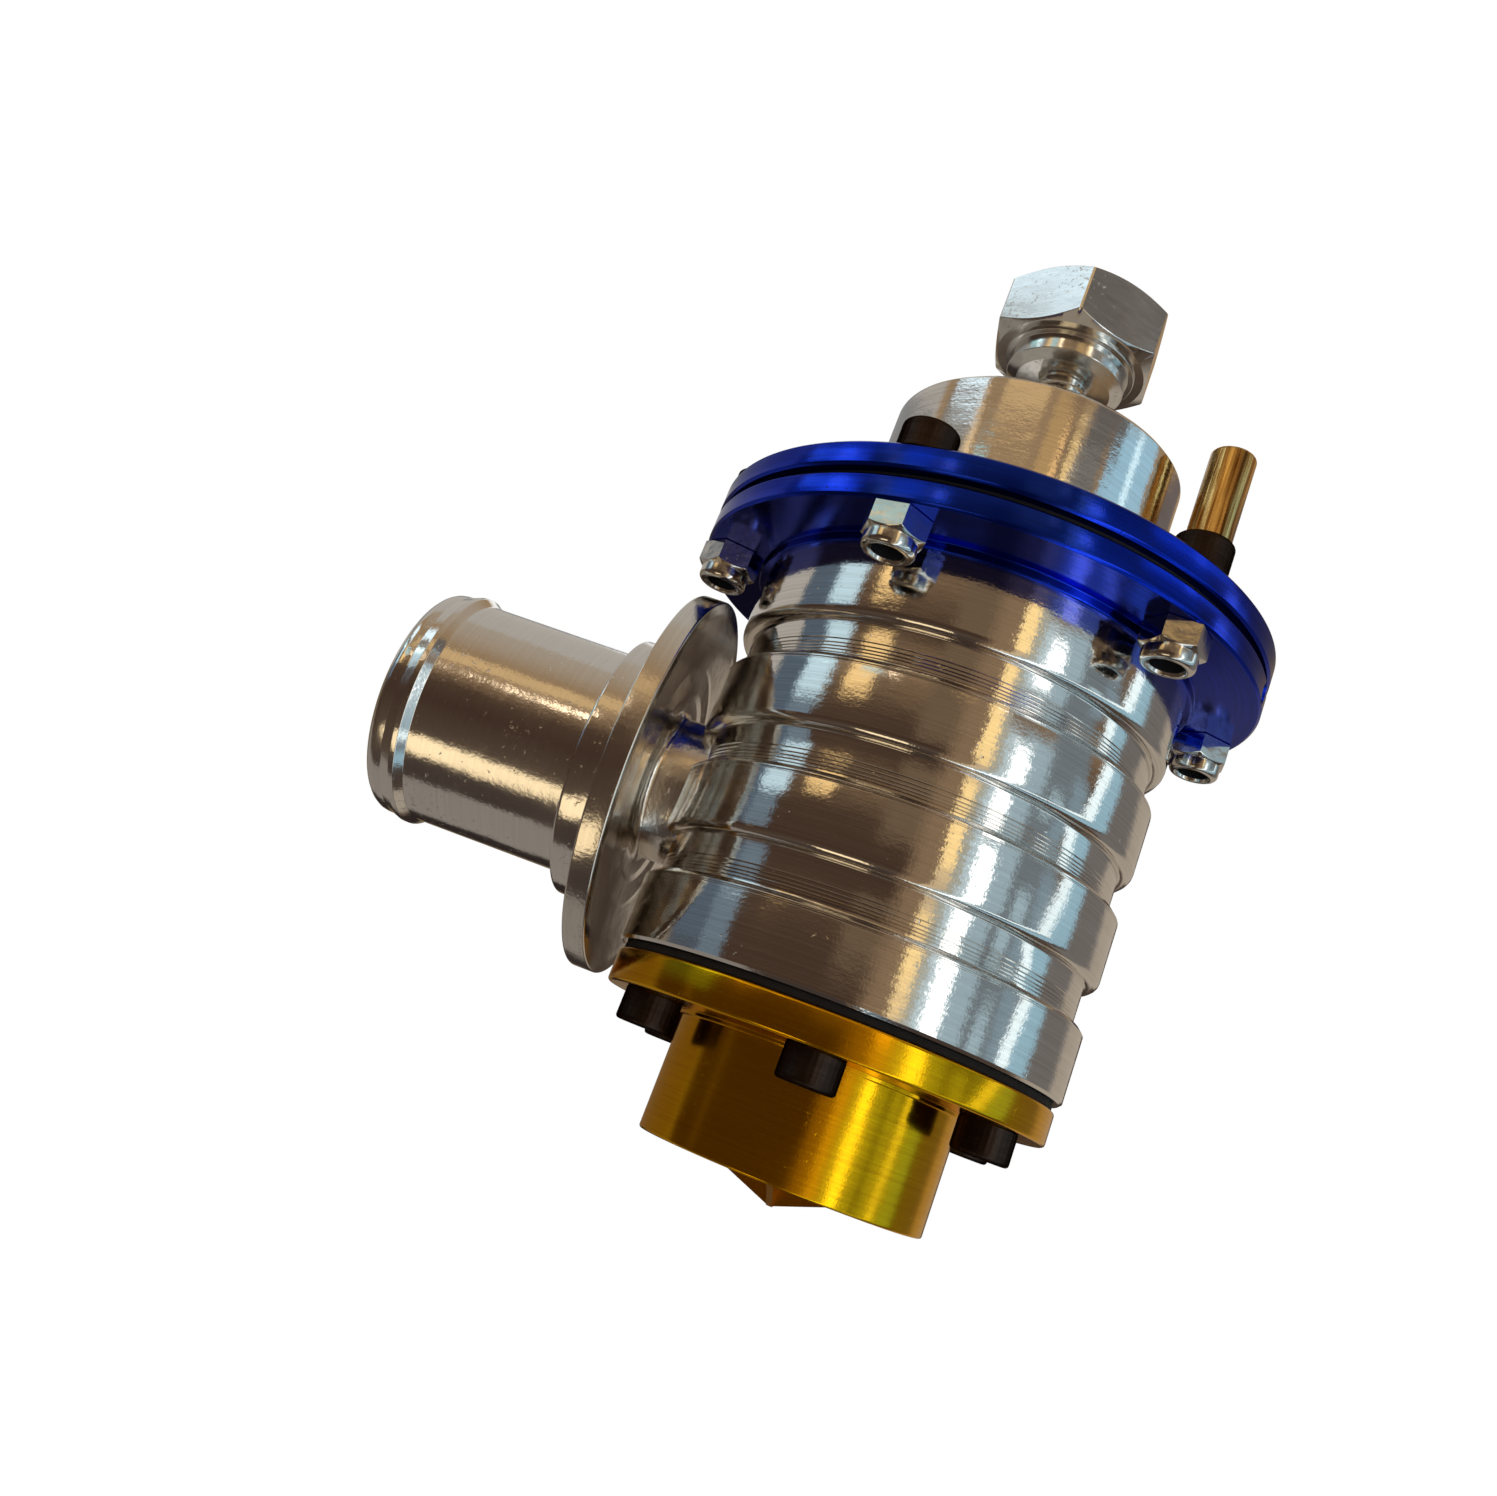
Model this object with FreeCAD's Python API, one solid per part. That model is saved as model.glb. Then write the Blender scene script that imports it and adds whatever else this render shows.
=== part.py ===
import FreeCAD
import Part
import math
import os

# Blow off valve, in millimetres. +Z runs up the valve axis, the origin is the centre of the
# inlet tube's open end, and the outlet leaves along -X.
V = FreeCAD.Vector
UP = V(0, 0, 1)
AXIS = V(0, 0, 0)

# Inlet flange: a turned tube and flange with the valve seat on its upper face
inlet_radius = 18.25
inlet_wall = 2.25
inlet_length = 14.9
flange_setback = 0.5
flange_thickness = 4.2
root_step = 0.5
root_step_height = 0.5
seat_bevel = 0.6
gasket_thickness = 1.0
gasket_setback = 0.35

# Housing: lands and grooves up the outside, one flow chamber and one diaphragm chamber inside
seat_overlap = 1.6
flow_gap = 2.8
body_wall = 8.6
land_heights = (9.2, 9.2, 9.2, 9.3)
groove_widths = (5.2, 5.1, 4.9)
groove_depth = 1.6
land_rounding = 1.2
land_bevel = 0.6
chamber_corner = 3.0
chamber_above_neck = 3.8
web_thickness = 4.0
boss_radius = 8.6
boss_overhang = 2.6
spigot_setback = 3.0
spigot_wall = 2.0

# Clamp rings, the diaphragm between them and the spring cap above
lower_ring_thickness = 3.1
upper_ring_thickness = 3.2
ring_rim = 3.8
ring_edge = 0.35
ring_boss_overhang = 0.9
ring_boss_height = 1.2
diaphragm_thickness = 1.0
diaphragm_setback = 1.5
diaphragm_land = 2.3
convolution_width = 4.4
convolution_depth = 2.6
cap_wall = 2.45
cap_height = 25.5
cap_roof = 4.0
cap_edge = 0.6
cap_flange_width = 2.95
cap_flange_thickness = 1.9

# Fasteners: M4 socket head screws and nyloc nuts
screw_radius = 1.97
screw_head_radius = 3.5
screw_head_height = 4.0
screw_head_edge = 0.45
socket_across_flats = 3.0
socket_depth = 2.0
screw_hole_radius = 2.25
tapped_radius = 2.0
ring_bolt_count = 6
ring_bolt_phase = 10.9
ring_screw_length = 10.0
inlet_bolt_phase = 30.0
inlet_screw_length = 12.0
tapped_depth = 9.5
tapped_wall = 1.35
nut_across_flats = 7.0
nut_side_gap = 1.16
nut_hex_height = 3.2
nut_height = 5.0
nut_collar_radius = 3.3
nut_insert_radius = 2.7
nut_insert_height = 1.3

# Vacuum nipple in the upper ring, and the vent drilled in through the lower ring's rim
nipple_radius = 3.0
nipple_wall = 1.0
nipple_spigot_radius = 2.4
nipple_side_gap = 0.42
nipple_angle = 340.9
nipple_standing = 26.5
nipple_seat_depth = 2.2
passage_width = 2.0
passage_depth = 0.8
passage_hole_radius = 1.0
vent_radius = 1.0
vent_angle = -19.0
vent_flare = 0.5

# Adjuster screw, its seal and the spring seat that it pushes
adjuster_across_flats = 22.0
adjuster_hex_height = 9.0
adjuster_corner_angle = 30.0
adjuster_phase = -34.0
adjuster_washer_radius = 9.3
adjuster_washer_height = 0.35
adjuster_collar_radius = 8.4
adjuster_collar_height = 3.15
adjuster_collar_edge = 0.8
adjuster_thread_radius = 4.0
adjuster_standing = 12.2
adjuster_tip_radius = 2.6
thread_clearance = 0.06
seal_section = 1.6
seat_headroom = 5.5
seat_overhang = 4.0
seat_thickness = 2.0
seat_boss_height = 1.6

# Moving valve: poppet with four guide wings, stem, cup and diaphragm clamp
poppet_thickness = 2.6
poppet_seal_thickness = 1.2
poppet_seal_width = 3.2
poppet_hub_radius = 7.0
poppet_hub_height = 7.0
lower_hub_radius = 3.6
lower_hub_length = 3.0
wing_count = 4
wing_phase = 86.0
wing_thickness = 0.8
wing_clearance = 0.15
wing_point_angle = 20.0
wing_point_below = 3.1
stem_radius = 4.0
stem_thread_radius = 3.0
stem_thread_length = 8.0
stem_tail_length = 6.0
bush_wall = 2.0
bush_clearance = 0.05
stem_seal_height = 1.8
stem_seal_wall = 2.5
cup_wall = 1.0
cup_floor = 1.2
cup_above_boss = 0.7
cup_flange_width = 3.6
cup_flange_gap = 0.8
cup_flange_thickness = 1.0
cup_corner = 1.5
fold_gap = 0.3
clamp_ring_thickness = 1.6
stem_washer_radius = 6.0
stem_washer_thickness = 1.0
stem_nut_across_flats = 10.0
stem_nut_height = 5.0

# Main spring
spring_wire_radius = 0.9
spring_side_gap = 0.5
spring_turns = 4.0
spring_end_turns = 1.0
spring_turn_points = 12

# Outlet: horn let into the housing, and the hose adapter on its flange
outlet_rise = 21.1
neck_radius = 9.7
neck_wall = 1.9
neck_gap = 0.45
neck_gap_depth = 2.6
neck_fillet = 1.3
horn_stand_off = 2.2
horn_nut_gap = 1.35
horn_rim_width = 2.2
horn_flange_thickness = 3.1
horn_dish = 0.8
tail_radius = 15.35
tail_wall = 1.95
tail_length = 27.6
adapter_step = 2.45
adapter_step_length = 5.6
adapter_spigot_wall = 1.2
adapter_spigot_length = 1.6
throat_flare = 1.6
bead_height = 0.8
bead_setback = 5.75
bead_width = 3.0
lip_height = 0.25
lip_rounding = 1.8

# Locating fits
slip = 0.03
edge = 0.4

# Radii, each worked outwards from the inlet's bore, then inwards from the body
inlet_bore = inlet_radius - inlet_wall
poppet_radius = inlet_bore + seat_overlap
chamber_radius = poppet_radius + flow_gap
body_radius = chamber_radius + body_wall
flange_radius = body_radius - flange_setback
inlet_bolt_circle = chamber_radius + tapped_wall + tapped_radius
ring_boss_radius = body_radius + ring_boss_overhang
ring_bolt_circle = body_radius + nut_side_gap + nut_across_flats / 2 / math.cos(math.radians(30))
ring_radius = ring_bolt_circle + ring_rim
body_spigot_radius = body_radius - spigot_setback
diaphragm_chamber_radius = body_spigot_radius - spigot_wall
convolution_outer = diaphragm_chamber_radius - diaphragm_land
convolution_inner = convolution_outer - convolution_width
cup_flange_radius = convolution_inner - fold_gap
cup_outer_radius = cup_flange_radius - cup_flange_width
cap_bore = cup_flange_radius + cup_flange_gap
cap_radius = cap_bore + cap_wall
cap_flange_radius = cap_radius + cap_flange_width
nipple_circle = cap_flange_radius + nipple_side_gap + nipple_spigot_radius
spring_radius = cup_outer_radius - cup_wall - spring_side_gap - spring_wire_radius
seat_boss_radius = spring_radius - spring_wire_radius - fold_gap
seat_radius = spring_radius + seat_overhang

# Levels up the axis, each from the one below
flange_bottom = inlet_length
seat_level = flange_bottom + flange_thickness
poppet_bottom = seat_level + poppet_seal_thickness
poppet_top = poppet_bottom + poppet_thickness
body_bottom = seat_level + gasket_thickness
body_top = body_bottom + sum(land_heights) + sum(groove_widths)
outlet_height = body_bottom + outlet_rise
web_bottom = outlet_height + neck_radius + chamber_above_neck
web_top = web_bottom + web_thickness
cup_bottom = web_top + boss_overhang + cup_above_boss
cup_floor_top = cup_bottom + cup_floor
ring_bottom = body_top + ring_boss_height
diaphragm_bottom = ring_bottom + lower_ring_thickness
diaphragm_top = diaphragm_bottom + diaphragm_thickness
ring_top = diaphragm_top + upper_ring_thickness
cap_top = diaphragm_top + cap_height
collar_bottom = cap_top + adjuster_standing
seat_top = cap_top - cap_roof - seat_headroom
seat_bottom = seat_top - seat_thickness

# Stations out along the outlet, each from the one before
horn_face = body_radius + horn_stand_off
horn_back = horn_face + horn_flange_thickness
horn_flange_radius = ring_bottom - nut_height - horn_nut_gap - outlet_height
step_end = horn_back + adapter_step_length
tail_end = step_end + tail_length
bead_start = tail_end - bead_setback
neck_bore = neck_radius - neck_wall
throat = neck_bore + throat_flare
tail_bore = tail_radius - tail_wall
adapter_spigot_radius = tail_bore - adapter_spigot_wall


def rounded_wire(points):
    # Closed outline in the XZ plane. A third value at a corner is the radius it is rounded to.
    count = len(points)
    ends = []
    for i, point in enumerate(points):
        here = V(point[0], 0, point[1])
        radius = point[2] if len(point) > 2 else 0
        if not radius:
            ends.append((here, None, here))
            continue
        back = V(points[i - 1][0], 0, points[i - 1][1]) - here
        ahead = V(points[(i + 1) % count][0], 0, points[(i + 1) % count][1]) - here
        half = back.getAngle(ahead) / 2
        back.normalize()
        ahead.normalize()
        middle = (back + ahead).normalize() * (radius / math.sin(half) - radius)
        run = radius / math.tan(half)
        ends.append((here + back * run, here + middle, here + ahead * run))
    edges = []
    for i, (start, middle, finish) in enumerate(ends):
        if middle:
            edges.append(Part.Arc(start, middle, finish).toShape())
        following = ends[(i + 1) % count][0]
        if finish.distanceToPoint(following) > 1e-6:
            edges.append(Part.LineSegment(finish, following).toShape())
    return Part.Wire(edges)


def turned(points):
    # Solid of revolution about the valve axis from an outline of (radius, height) corners
    return Part.Face(rounded_wire(points)).revolve(AXIS, UP, 360)


def rod(radius, low, high, centre=(0, 0)):
    return Part.makeCylinder(radius, high - low, V(centre[0], centre[1], low))


def around(count, circle, phase=0.0):
    # Centres and angles of evenly spaced items on a circle
    for i in range(count):
        angle = phase + 360.0 * i / count
        turn = math.radians(angle)
        yield (circle * math.cos(turn), circle * math.sin(turn)), angle


def drilled(shape, count, circle, phase, radius, low, high):
    holes = [rod(radius, low, high, centre) for centre, angle in around(count, circle, phase)]
    return shape.cut(holes)


def hexagon(across_flats, low, high, phase=0.0):
    corner = across_flats / 2 / math.cos(math.radians(30))
    corners = [V(x, y, low) for (x, y), angle in around(6, corner, phase)]
    face = Part.Face(Part.makePolygon(corners + corners[:1]))
    return face.extrude(V(0, 0, high - low))


def chamfered_hexagon(across_flats, low, high, phase=0.0, top=True, bottom=True):
    # Hexagon bar with its corners turned off by a shallow cone at either end
    flat = across_flats / 2
    reach = flat / math.cos(math.radians(30)) + 0.5
    drop = (reach - flat) * math.tan(math.radians(adjuster_corner_angle))
    outline = [(0, low)]
    outline += [(flat * 0.97, low), (reach, low + drop)] if bottom else [(reach, low)]
    outline += [(reach, high - drop), (flat * 0.97, high)] if top else [(reach, high)]
    outline += [(0, high)]
    return hexagon(across_flats, low, high, phase).common(turned(outline))


def socket_screw(length):
    # Head above the seat at height zero, shank below it
    head = turned([(0, 0), (screw_head_radius, 0),
                   (screw_head_radius, screw_head_height, screw_head_edge), (0, screw_head_height)])
    shank = turned([(0, -length), (screw_radius - edge, -length), (screw_radius, -length + edge),
                    (screw_radius, 0.1), (0, 0.1)])
    socket = hexagon(socket_across_flats, screw_head_height - socket_depth, screw_head_height + 1)
    return head.fuse(shank).removeSplitter().cut(socket)


def set_of(shape, count, circle, phase, level):
    # Copies on a bolt circle, each turned to face outwards
    copies = []
    for (x, y), angle in around(count, circle, phase):
        copy = shape.copy()
        copy.rotate(AXIS, UP, angle)
        copy.translate(V(x, y, level))
        copies.append(copy)
    return Part.makeCompound(copies)


def to_outlet(shape):
    # Lay a turned outlet piece along -X at the outlet's height
    shape = shape.copy()
    shape.rotate(AXIS, V(0, 1, 0), -90)
    shape.translate(V(0, 0, outlet_height))
    return shape


def vent():
    # Hole drilled radially through the rim into the lower chamber, flared at its mouth
    level = ring_bottom + lower_ring_thickness / 2
    start = diaphragm_chamber_radius - 1
    hole = Part.makeCylinder(vent_radius, ring_radius + 1 - start, V(start, 0, level), V(1, 0, 0))
    flare = Part.makeCone(vent_radius, vent_radius + 2 * vent_flare, 2 * vent_flare,
                          V(ring_radius - vent_flare, 0, level), V(1, 0, 0))
    hole = hole.fuse(flare)
    hole.rotate(AXIS, UP, vent_angle)
    return hole


def o_ring(radius, section, level):
    return Part.makeTorus(radius, section / 2, V(0, 0, level))


def inlet_flange():
    # Tube, flange and seat are one turning, with a small step where the tube leaves the flange
    shape = turned([
        (inlet_bore + edge, 0), (inlet_radius, 0), (inlet_radius, flange_bottom - root_step_height),
        (inlet_radius + root_step, flange_bottom - root_step_height),
        (inlet_radius + root_step, flange_bottom), (flange_radius, flange_bottom, edge),
        (flange_radius, seat_level, edge), (inlet_bore + seat_bevel, seat_level),
        (inlet_bore, seat_level - seat_bevel), (inlet_bore, edge)])
    return drilled(shape, ring_bolt_count, inlet_bolt_circle, inlet_bolt_phase,
                   screw_hole_radius, 0, seat_level + 1)


def inlet_gasket():
    outer = flange_radius - gasket_setback
    ring = turned([(chamber_radius + edge, seat_level), (outer, seat_level),
                   (outer, body_bottom), (chamber_radius + edge, body_bottom)])
    return drilled(ring, ring_bolt_count, inlet_bolt_circle, inlet_bolt_phase,
                   screw_hole_radius, 0, body_bottom + 1)


def body():
    # The outside climbs land by land; each land is bevelled on top and rounded underneath
    floor = body_radius - groove_depth
    outer = [(chamber_radius, body_bottom), (body_radius - edge, body_bottom),
             (body_radius, body_bottom + edge)]
    level = body_bottom
    for land, groove in zip(land_heights, groove_widths):
        level += land
        outer += [(body_radius, level - land_bevel), (body_radius - land_bevel, level), (floor, level)]
        level += groove
        outer += [(floor, level), (body_radius, level, land_rounding)]
    outer += [(body_radius, body_top), (body_spigot_radius, body_top),
              (body_spigot_radius, diaphragm_bottom)]
    # The inside comes back down: diaphragm chamber, guide boss for the stem, flow chamber
    bush_radius = stem_radius + bush_clearance + bush_wall
    seal_radius = stem_radius + bush_clearance + stem_seal_wall
    boss_top = web_top + boss_overhang
    inner = [(diaphragm_chamber_radius, diaphragm_bottom, 0.5),
             (diaphragm_chamber_radius, web_top, 2.0),
             (boss_radius, web_top, 0.8), (boss_radius, boss_top, 0.8),
             (seal_radius + slip, boss_top), (seal_radius + slip, boss_top - stem_seal_height),
             (bush_radius + slip, boss_top - stem_seal_height),
             (bush_radius + slip, web_bottom - boss_overhang),
             (boss_radius, web_bottom - boss_overhang, 0.8), (boss_radius, web_bottom, 0.8),
             (chamber_radius, web_bottom, chamber_corner)]
    shape = turned(outer + inner)
    shape = drilled(shape, ring_bolt_count, inlet_bolt_circle, inlet_bolt_phase,
                    tapped_radius, 0, body_bottom + tapped_depth)
    # The outlet hole fits the neck inside and is left a little wider at the surface
    hole = to_outlet(rod(neck_radius + slip, 0, body_radius + 1))
    mouth = to_outlet(rod(neck_radius + neck_gap, body_radius - neck_gap_depth, body_radius + 1))
    return shape.cut([hole, mouth, vent()])


def stem_bush():
    outer = stem_radius + bush_clearance + bush_wall
    inner = stem_radius + bush_clearance
    low = web_bottom - boss_overhang
    high = web_top + boss_overhang - stem_seal_height
    return turned([(inner, low + edge), (inner + edge, low), (outer, low), (outer, high),
                   (inner + edge, high), (inner, high - edge)])


def stem_seal():
    low = web_top + boss_overhang - stem_seal_height
    inner = stem_radius + bush_clearance
    outer = inner + stem_seal_wall
    return turned([(inner, low + slip), (outer, low + slip), (outer, low + stem_seal_height),
                   (outer - 0.7, low + stem_seal_height), (inner + 0.9, low + stem_seal_height / 2),
                   (inner + 0.5, low + stem_seal_height), (inner, low + stem_seal_height)])


def lower_ring():
    bore = body_spigot_radius + slip
    shape = turned([(bore, body_top), (ring_boss_radius, body_top, 0.2),
                    (ring_boss_radius, ring_bottom), (ring_radius, ring_bottom, ring_edge),
                    (ring_radius, diaphragm_bottom, ring_edge), (bore, diaphragm_bottom)])
    shape = drilled(shape, ring_bolt_count, ring_bolt_circle, ring_bolt_phase,
                    screw_hole_radius, 0, diaphragm_bottom + 1)
    return shape.cut(vent())


def passage(inner, outer):
    # Slot under the ring and the cap's flange that joins the nipple to the chamber
    slot = Part.makeBox(outer - inner, passage_width, passage_depth + 1,
                        V(inner, -passage_width / 2, diaphragm_top - 1))
    slot.rotate(AXIS, UP, nipple_angle)
    return slot


def nipple_centre():
    turn = math.radians(nipple_angle)
    return nipple_circle * math.cos(turn), nipple_circle * math.sin(turn)


def upper_ring():
    bore = cap_radius + slip
    pocket = cap_flange_radius + slip
    shoulder = diaphragm_top + cap_flange_thickness
    shape = turned([(pocket, diaphragm_top), (ring_radius, diaphragm_top, ring_edge),
                    (ring_radius, ring_top, ring_edge), (bore, ring_top), (bore, shoulder),
                    (pocket, shoulder)])
    shape = drilled(shape, ring_bolt_count, ring_bolt_circle, ring_bolt_phase,
                    screw_hole_radius, diaphragm_top - 1, ring_top + 1)
    seat = rod(nipple_spigot_radius + slip, ring_top - nipple_seat_depth, ring_top + 1, nipple_centre())
    drop = rod(passage_hole_radius, diaphragm_top - 1, ring_top, nipple_centre())
    slot = passage(cap_flange_radius - 1, nipple_circle + passage_width / 2)
    return shape.cut([seat, drop, slot])


def diaphragm():
    # Flat where it is clamped, with one rolled fold hanging into the lower chamber
    outer = ring_radius - diaphragm_setback
    inner = cup_outer_radius + slip
    low = diaphragm_bottom
    high = diaphragm_top
    fold = low - convolution_depth
    shape = turned([
        (inner, low), (convolution_inner, low), (convolution_inner, fold, 1.9),
        (convolution_outer, fold, 1.9), (convolution_outer, low), (outer, low), (outer, high),
        (convolution_outer - diaphragm_thickness, high, 0.6),
        (convolution_outer - diaphragm_thickness, fold + diaphragm_thickness, 1.1),
        (convolution_inner + diaphragm_thickness, fold + diaphragm_thickness, 1.1),
        (convolution_inner + diaphragm_thickness, high, 0.6), (inner, high)])
    return drilled(shape, ring_bolt_count, ring_bolt_circle, ring_bolt_phase,
                   screw_hole_radius, low - 1, high + 1)


def cap():
    roof = cap_top - cap_roof
    bore = adjuster_thread_radius + thread_clearance
    groove = bore + seal_section + 0.05
    groove_low = cap_top - 0.9 - seal_section - 0.1
    shape = turned([
        (cap_bore, diaphragm_top), (cap_flange_radius, diaphragm_top),
        (cap_flange_radius, diaphragm_top + cap_flange_thickness - slip),
        (cap_radius, diaphragm_top + cap_flange_thickness - slip), (cap_radius, cap_top - cap_edge),
        (cap_radius - cap_edge, cap_top), (bore, cap_top), (bore, cap_top - 0.9),
        (groove, cap_top - 0.9), (groove, groove_low), (bore, groove_low), (bore, roof),
        (cap_bore, roof, 2.0)])
    return shape.cut(passage(cap_bore - 1, cap_flange_radius + 1))


def vacuum_nipple():
    low = ring_top - nipple_seat_depth
    high = ring_top + nipple_standing
    bore = nipple_radius - nipple_wall
    tube = turned([(bore, low), (nipple_spigot_radius, low), (nipple_spigot_radius, ring_top),
                   (nipple_radius, ring_top), (nipple_radius, high, 0.6), (bore, high, 0.3)])
    x, y = nipple_centre()
    tube.translate(V(x, y, 0))
    return tube


def adjuster():
    # Hexagon head, washer face and collar over the threaded stem
    low = collar_bottom
    collar_top = low + adjuster_collar_height
    hex_low = collar_top + adjuster_washer_height
    hex_high = hex_low + adjuster_hex_height
    head = chamfered_hexagon(adjuster_across_flats, hex_low, hex_high, adjuster_phase)
    seat_gap = seat_top
    shank = turned([
        (0, seat_gap), (adjuster_tip_radius, seat_gap),
        (adjuster_tip_radius, seat_gap + 1.2), (adjuster_thread_radius, seat_gap + 2.4),
        (adjuster_thread_radius, low), (adjuster_collar_radius - 2 * adjuster_collar_edge, low),
        (adjuster_collar_radius, low + adjuster_collar_edge), (adjuster_collar_radius, collar_top),
        (adjuster_washer_radius, collar_top), (adjuster_washer_radius, hex_low + 0.1),
        (0, hex_low + 0.1)])
    return head.fuse(shank).removeSplitter()


def adjuster_seal():
    centre = cap_top - 0.9 - 0.05 - seal_section / 2
    return o_ring(adjuster_thread_radius + thread_clearance + seal_section / 2, seal_section, centre)


def spring_seat():
    return turned([
        (0, seat_bottom - seat_boss_height), (seat_boss_radius - 0.6, seat_bottom - seat_boss_height),
        (seat_boss_radius, seat_bottom - seat_boss_height + 0.6), (seat_boss_radius, seat_bottom),
        (seat_radius, seat_bottom), (seat_radius, seat_top, 0.6),
        (adjuster_tip_radius + 2.2, seat_top), (adjuster_tip_radius + 1.0, seat_top), (0, seat_top)])


def main_spring():
    # Coil between the cup's floor and the seat, with a closed turn at each end ground flat
    low = cup_floor_top + slip
    high = seat_bottom - slip
    grind = spring_wire_radius * 0.6
    end_rise = spring_wire_radius * 2 * spring_end_turns
    first = low + spring_wire_radius - grind
    last = high - spring_wire_radius + grind
    turns = spring_turns + 2 * spring_end_turns
    rate = (last - first - 2 * end_rise) / spring_turns
    closing = (0, spring_end_turns, turns - spring_end_turns, turns)
    points = []
    count = int(turns * spring_turn_points)
    for i in range(count + 1):
        turn = turns * i / count
        if turn < closing[1]:
            level = first + end_rise * turn / spring_end_turns
        elif turn < closing[2]:
            level = first + end_rise + rate * (turn - closing[1])
        else:
            level = last - end_rise * (turns - turn) / spring_end_turns
        angle = 2 * math.pi * turn
        points.append(V(spring_radius * math.cos(angle), spring_radius * math.sin(angle), level))
    curve = Part.BSplineCurve()
    curve.interpolate(points)
    path = Part.Wire(curve.toShape())
    ahead = curve.tangent(curve.FirstParameter)[0]
    wire = Part.Wire(Part.makeCircle(spring_wire_radius, points[0], ahead))
    coil = path.makePipeShell([wire], True, False)
    return Part.makeSolid(coil).common(rod(spring_radius + 3, low, high))


def cup():
    inner = cup_outer_radius - cup_wall
    flange_top = diaphragm_top + cup_flange_thickness
    return turned([
        (stem_thread_radius + slip, cup_bottom), (cup_outer_radius, cup_bottom, cup_corner),
        (cup_outer_radius, diaphragm_top), (cup_flange_radius, diaphragm_top),
        (cup_flange_radius, flange_top), (inner, flange_top, 0.8),
        (inner, cup_floor_top, cup_corner - 1.0), (stem_thread_radius + slip, cup_floor_top)])


def clamp_ring():
    low = diaphragm_bottom - clamp_ring_thickness
    inner = cup_outer_radius + slip
    outer = convolution_inner - 0.4
    return turned([(inner, low), (outer, low, 0.5), (outer, diaphragm_bottom),
                   (inner, diaphragm_bottom)])


def stem():
    # Ground rod with a threaded end for the cup and one for the poppet
    top = cup_floor_top + stem_thread_length
    tail = poppet_top + poppet_hub_height - stem_tail_length
    shoulder = poppet_top + poppet_hub_height
    return turned([
        (0, tail), (stem_thread_radius - edge, tail), (stem_thread_radius, tail + edge),
        (stem_thread_radius, shoulder), (stem_radius, shoulder), (stem_radius, cup_bottom),
        (stem_thread_radius, cup_bottom), (stem_thread_radius, top - edge),
        (stem_thread_radius - edge, top), (0, top)])


def stem_washer():
    inner = stem_thread_radius + slip
    high = cup_floor_top + stem_washer_thickness
    return turned([(inner, cup_floor_top), (stem_washer_radius, cup_floor_top),
                   (stem_washer_radius, high, 0.2), (inner, high)])


def stem_nut():
    low = cup_floor_top + stem_washer_thickness
    nut = chamfered_hexagon(stem_nut_across_flats, low, low + stem_nut_height)
    return nut.cut(rod(stem_thread_radius + slip, low - 1, low + stem_nut_height + 1))


def poppet():
    # Disc and hub with four thin wings that run in the inlet bore, cut to a shallow point
    spigot = poppet_radius - poppet_seal_width - slip
    hub_low = seat_level - lower_hub_length
    hub_high = poppet_top + poppet_hub_height
    core = turned([
        (0, hub_low), (lower_hub_radius, hub_low, 1.0), (lower_hub_radius, seat_level + 0.2, 1.0),
        (spigot, seat_level + 0.2), (spigot, poppet_bottom), (poppet_radius, poppet_bottom),
        (poppet_radius, poppet_top - 0.8), (poppet_radius - 0.8, poppet_top),
        (poppet_hub_radius + 2, poppet_top, 2.0), (poppet_hub_radius, hub_high, 0.6), (0, hub_high)])
    reach = inlet_bore - wing_clearance
    tip = -wing_point_below
    heel = tip + reach * math.tan(math.radians(wing_point_angle))
    wing_top = seat_level - 0.7
    corners = [V(0, 0, tip), V(reach, 0, heel), V(reach, 0, wing_top - 1.0),
               V(reach - 1.4, 0, wing_top), V(reach - 1.8, 0, seat_level + 0.4),
               V(0, 0, seat_level + 0.4)]
    web = Part.Face(Part.makePolygon(corners + corners[:1]))
    web.translate(V(0, -wing_thickness / 2, 0))
    web = web.extrude(V(0, wing_thickness, 0))
    wings = []
    for centre, angle in around(wing_count, 0, wing_phase):
        wing = web.copy()
        wing.rotate(AXIS, UP, angle)
        wings.append(wing)
    thread = rod(stem_thread_radius + slip, hub_high - stem_tail_length, hub_high + 1)
    return core.fuse(wings).removeSplitter().cut(thread)


def poppet_seal():
    inner = poppet_radius - poppet_seal_width
    return turned([(inner, seat_level), (poppet_radius, seat_level, 0.3),
                   (poppet_radius, poppet_bottom), (inner, poppet_bottom)])


def outlet_horn():
    # Neck and dished flange are one turning; its inner end follows the flow chamber's wall
    dished = horn_face + horn_dish
    pocket = adapter_spigot_radius + slip
    floor = horn_back - adapter_spigot_length
    shape = turned([
        (neck_bore, 0), (neck_radius, 0), (neck_radius, dished, neck_fillet),
        (horn_flange_radius * 0.62, dished), (horn_flange_radius - horn_rim_width, horn_face),
        (horn_flange_radius, horn_face, 0.3), (horn_flange_radius, horn_back, 0.3),
        (pocket, horn_back), (pocket, floor), (throat, floor), (neck_bore, floor - 1.0)])
    return to_outlet(shape).cut(rod(chamber_radius, 0, web_bottom))


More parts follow.
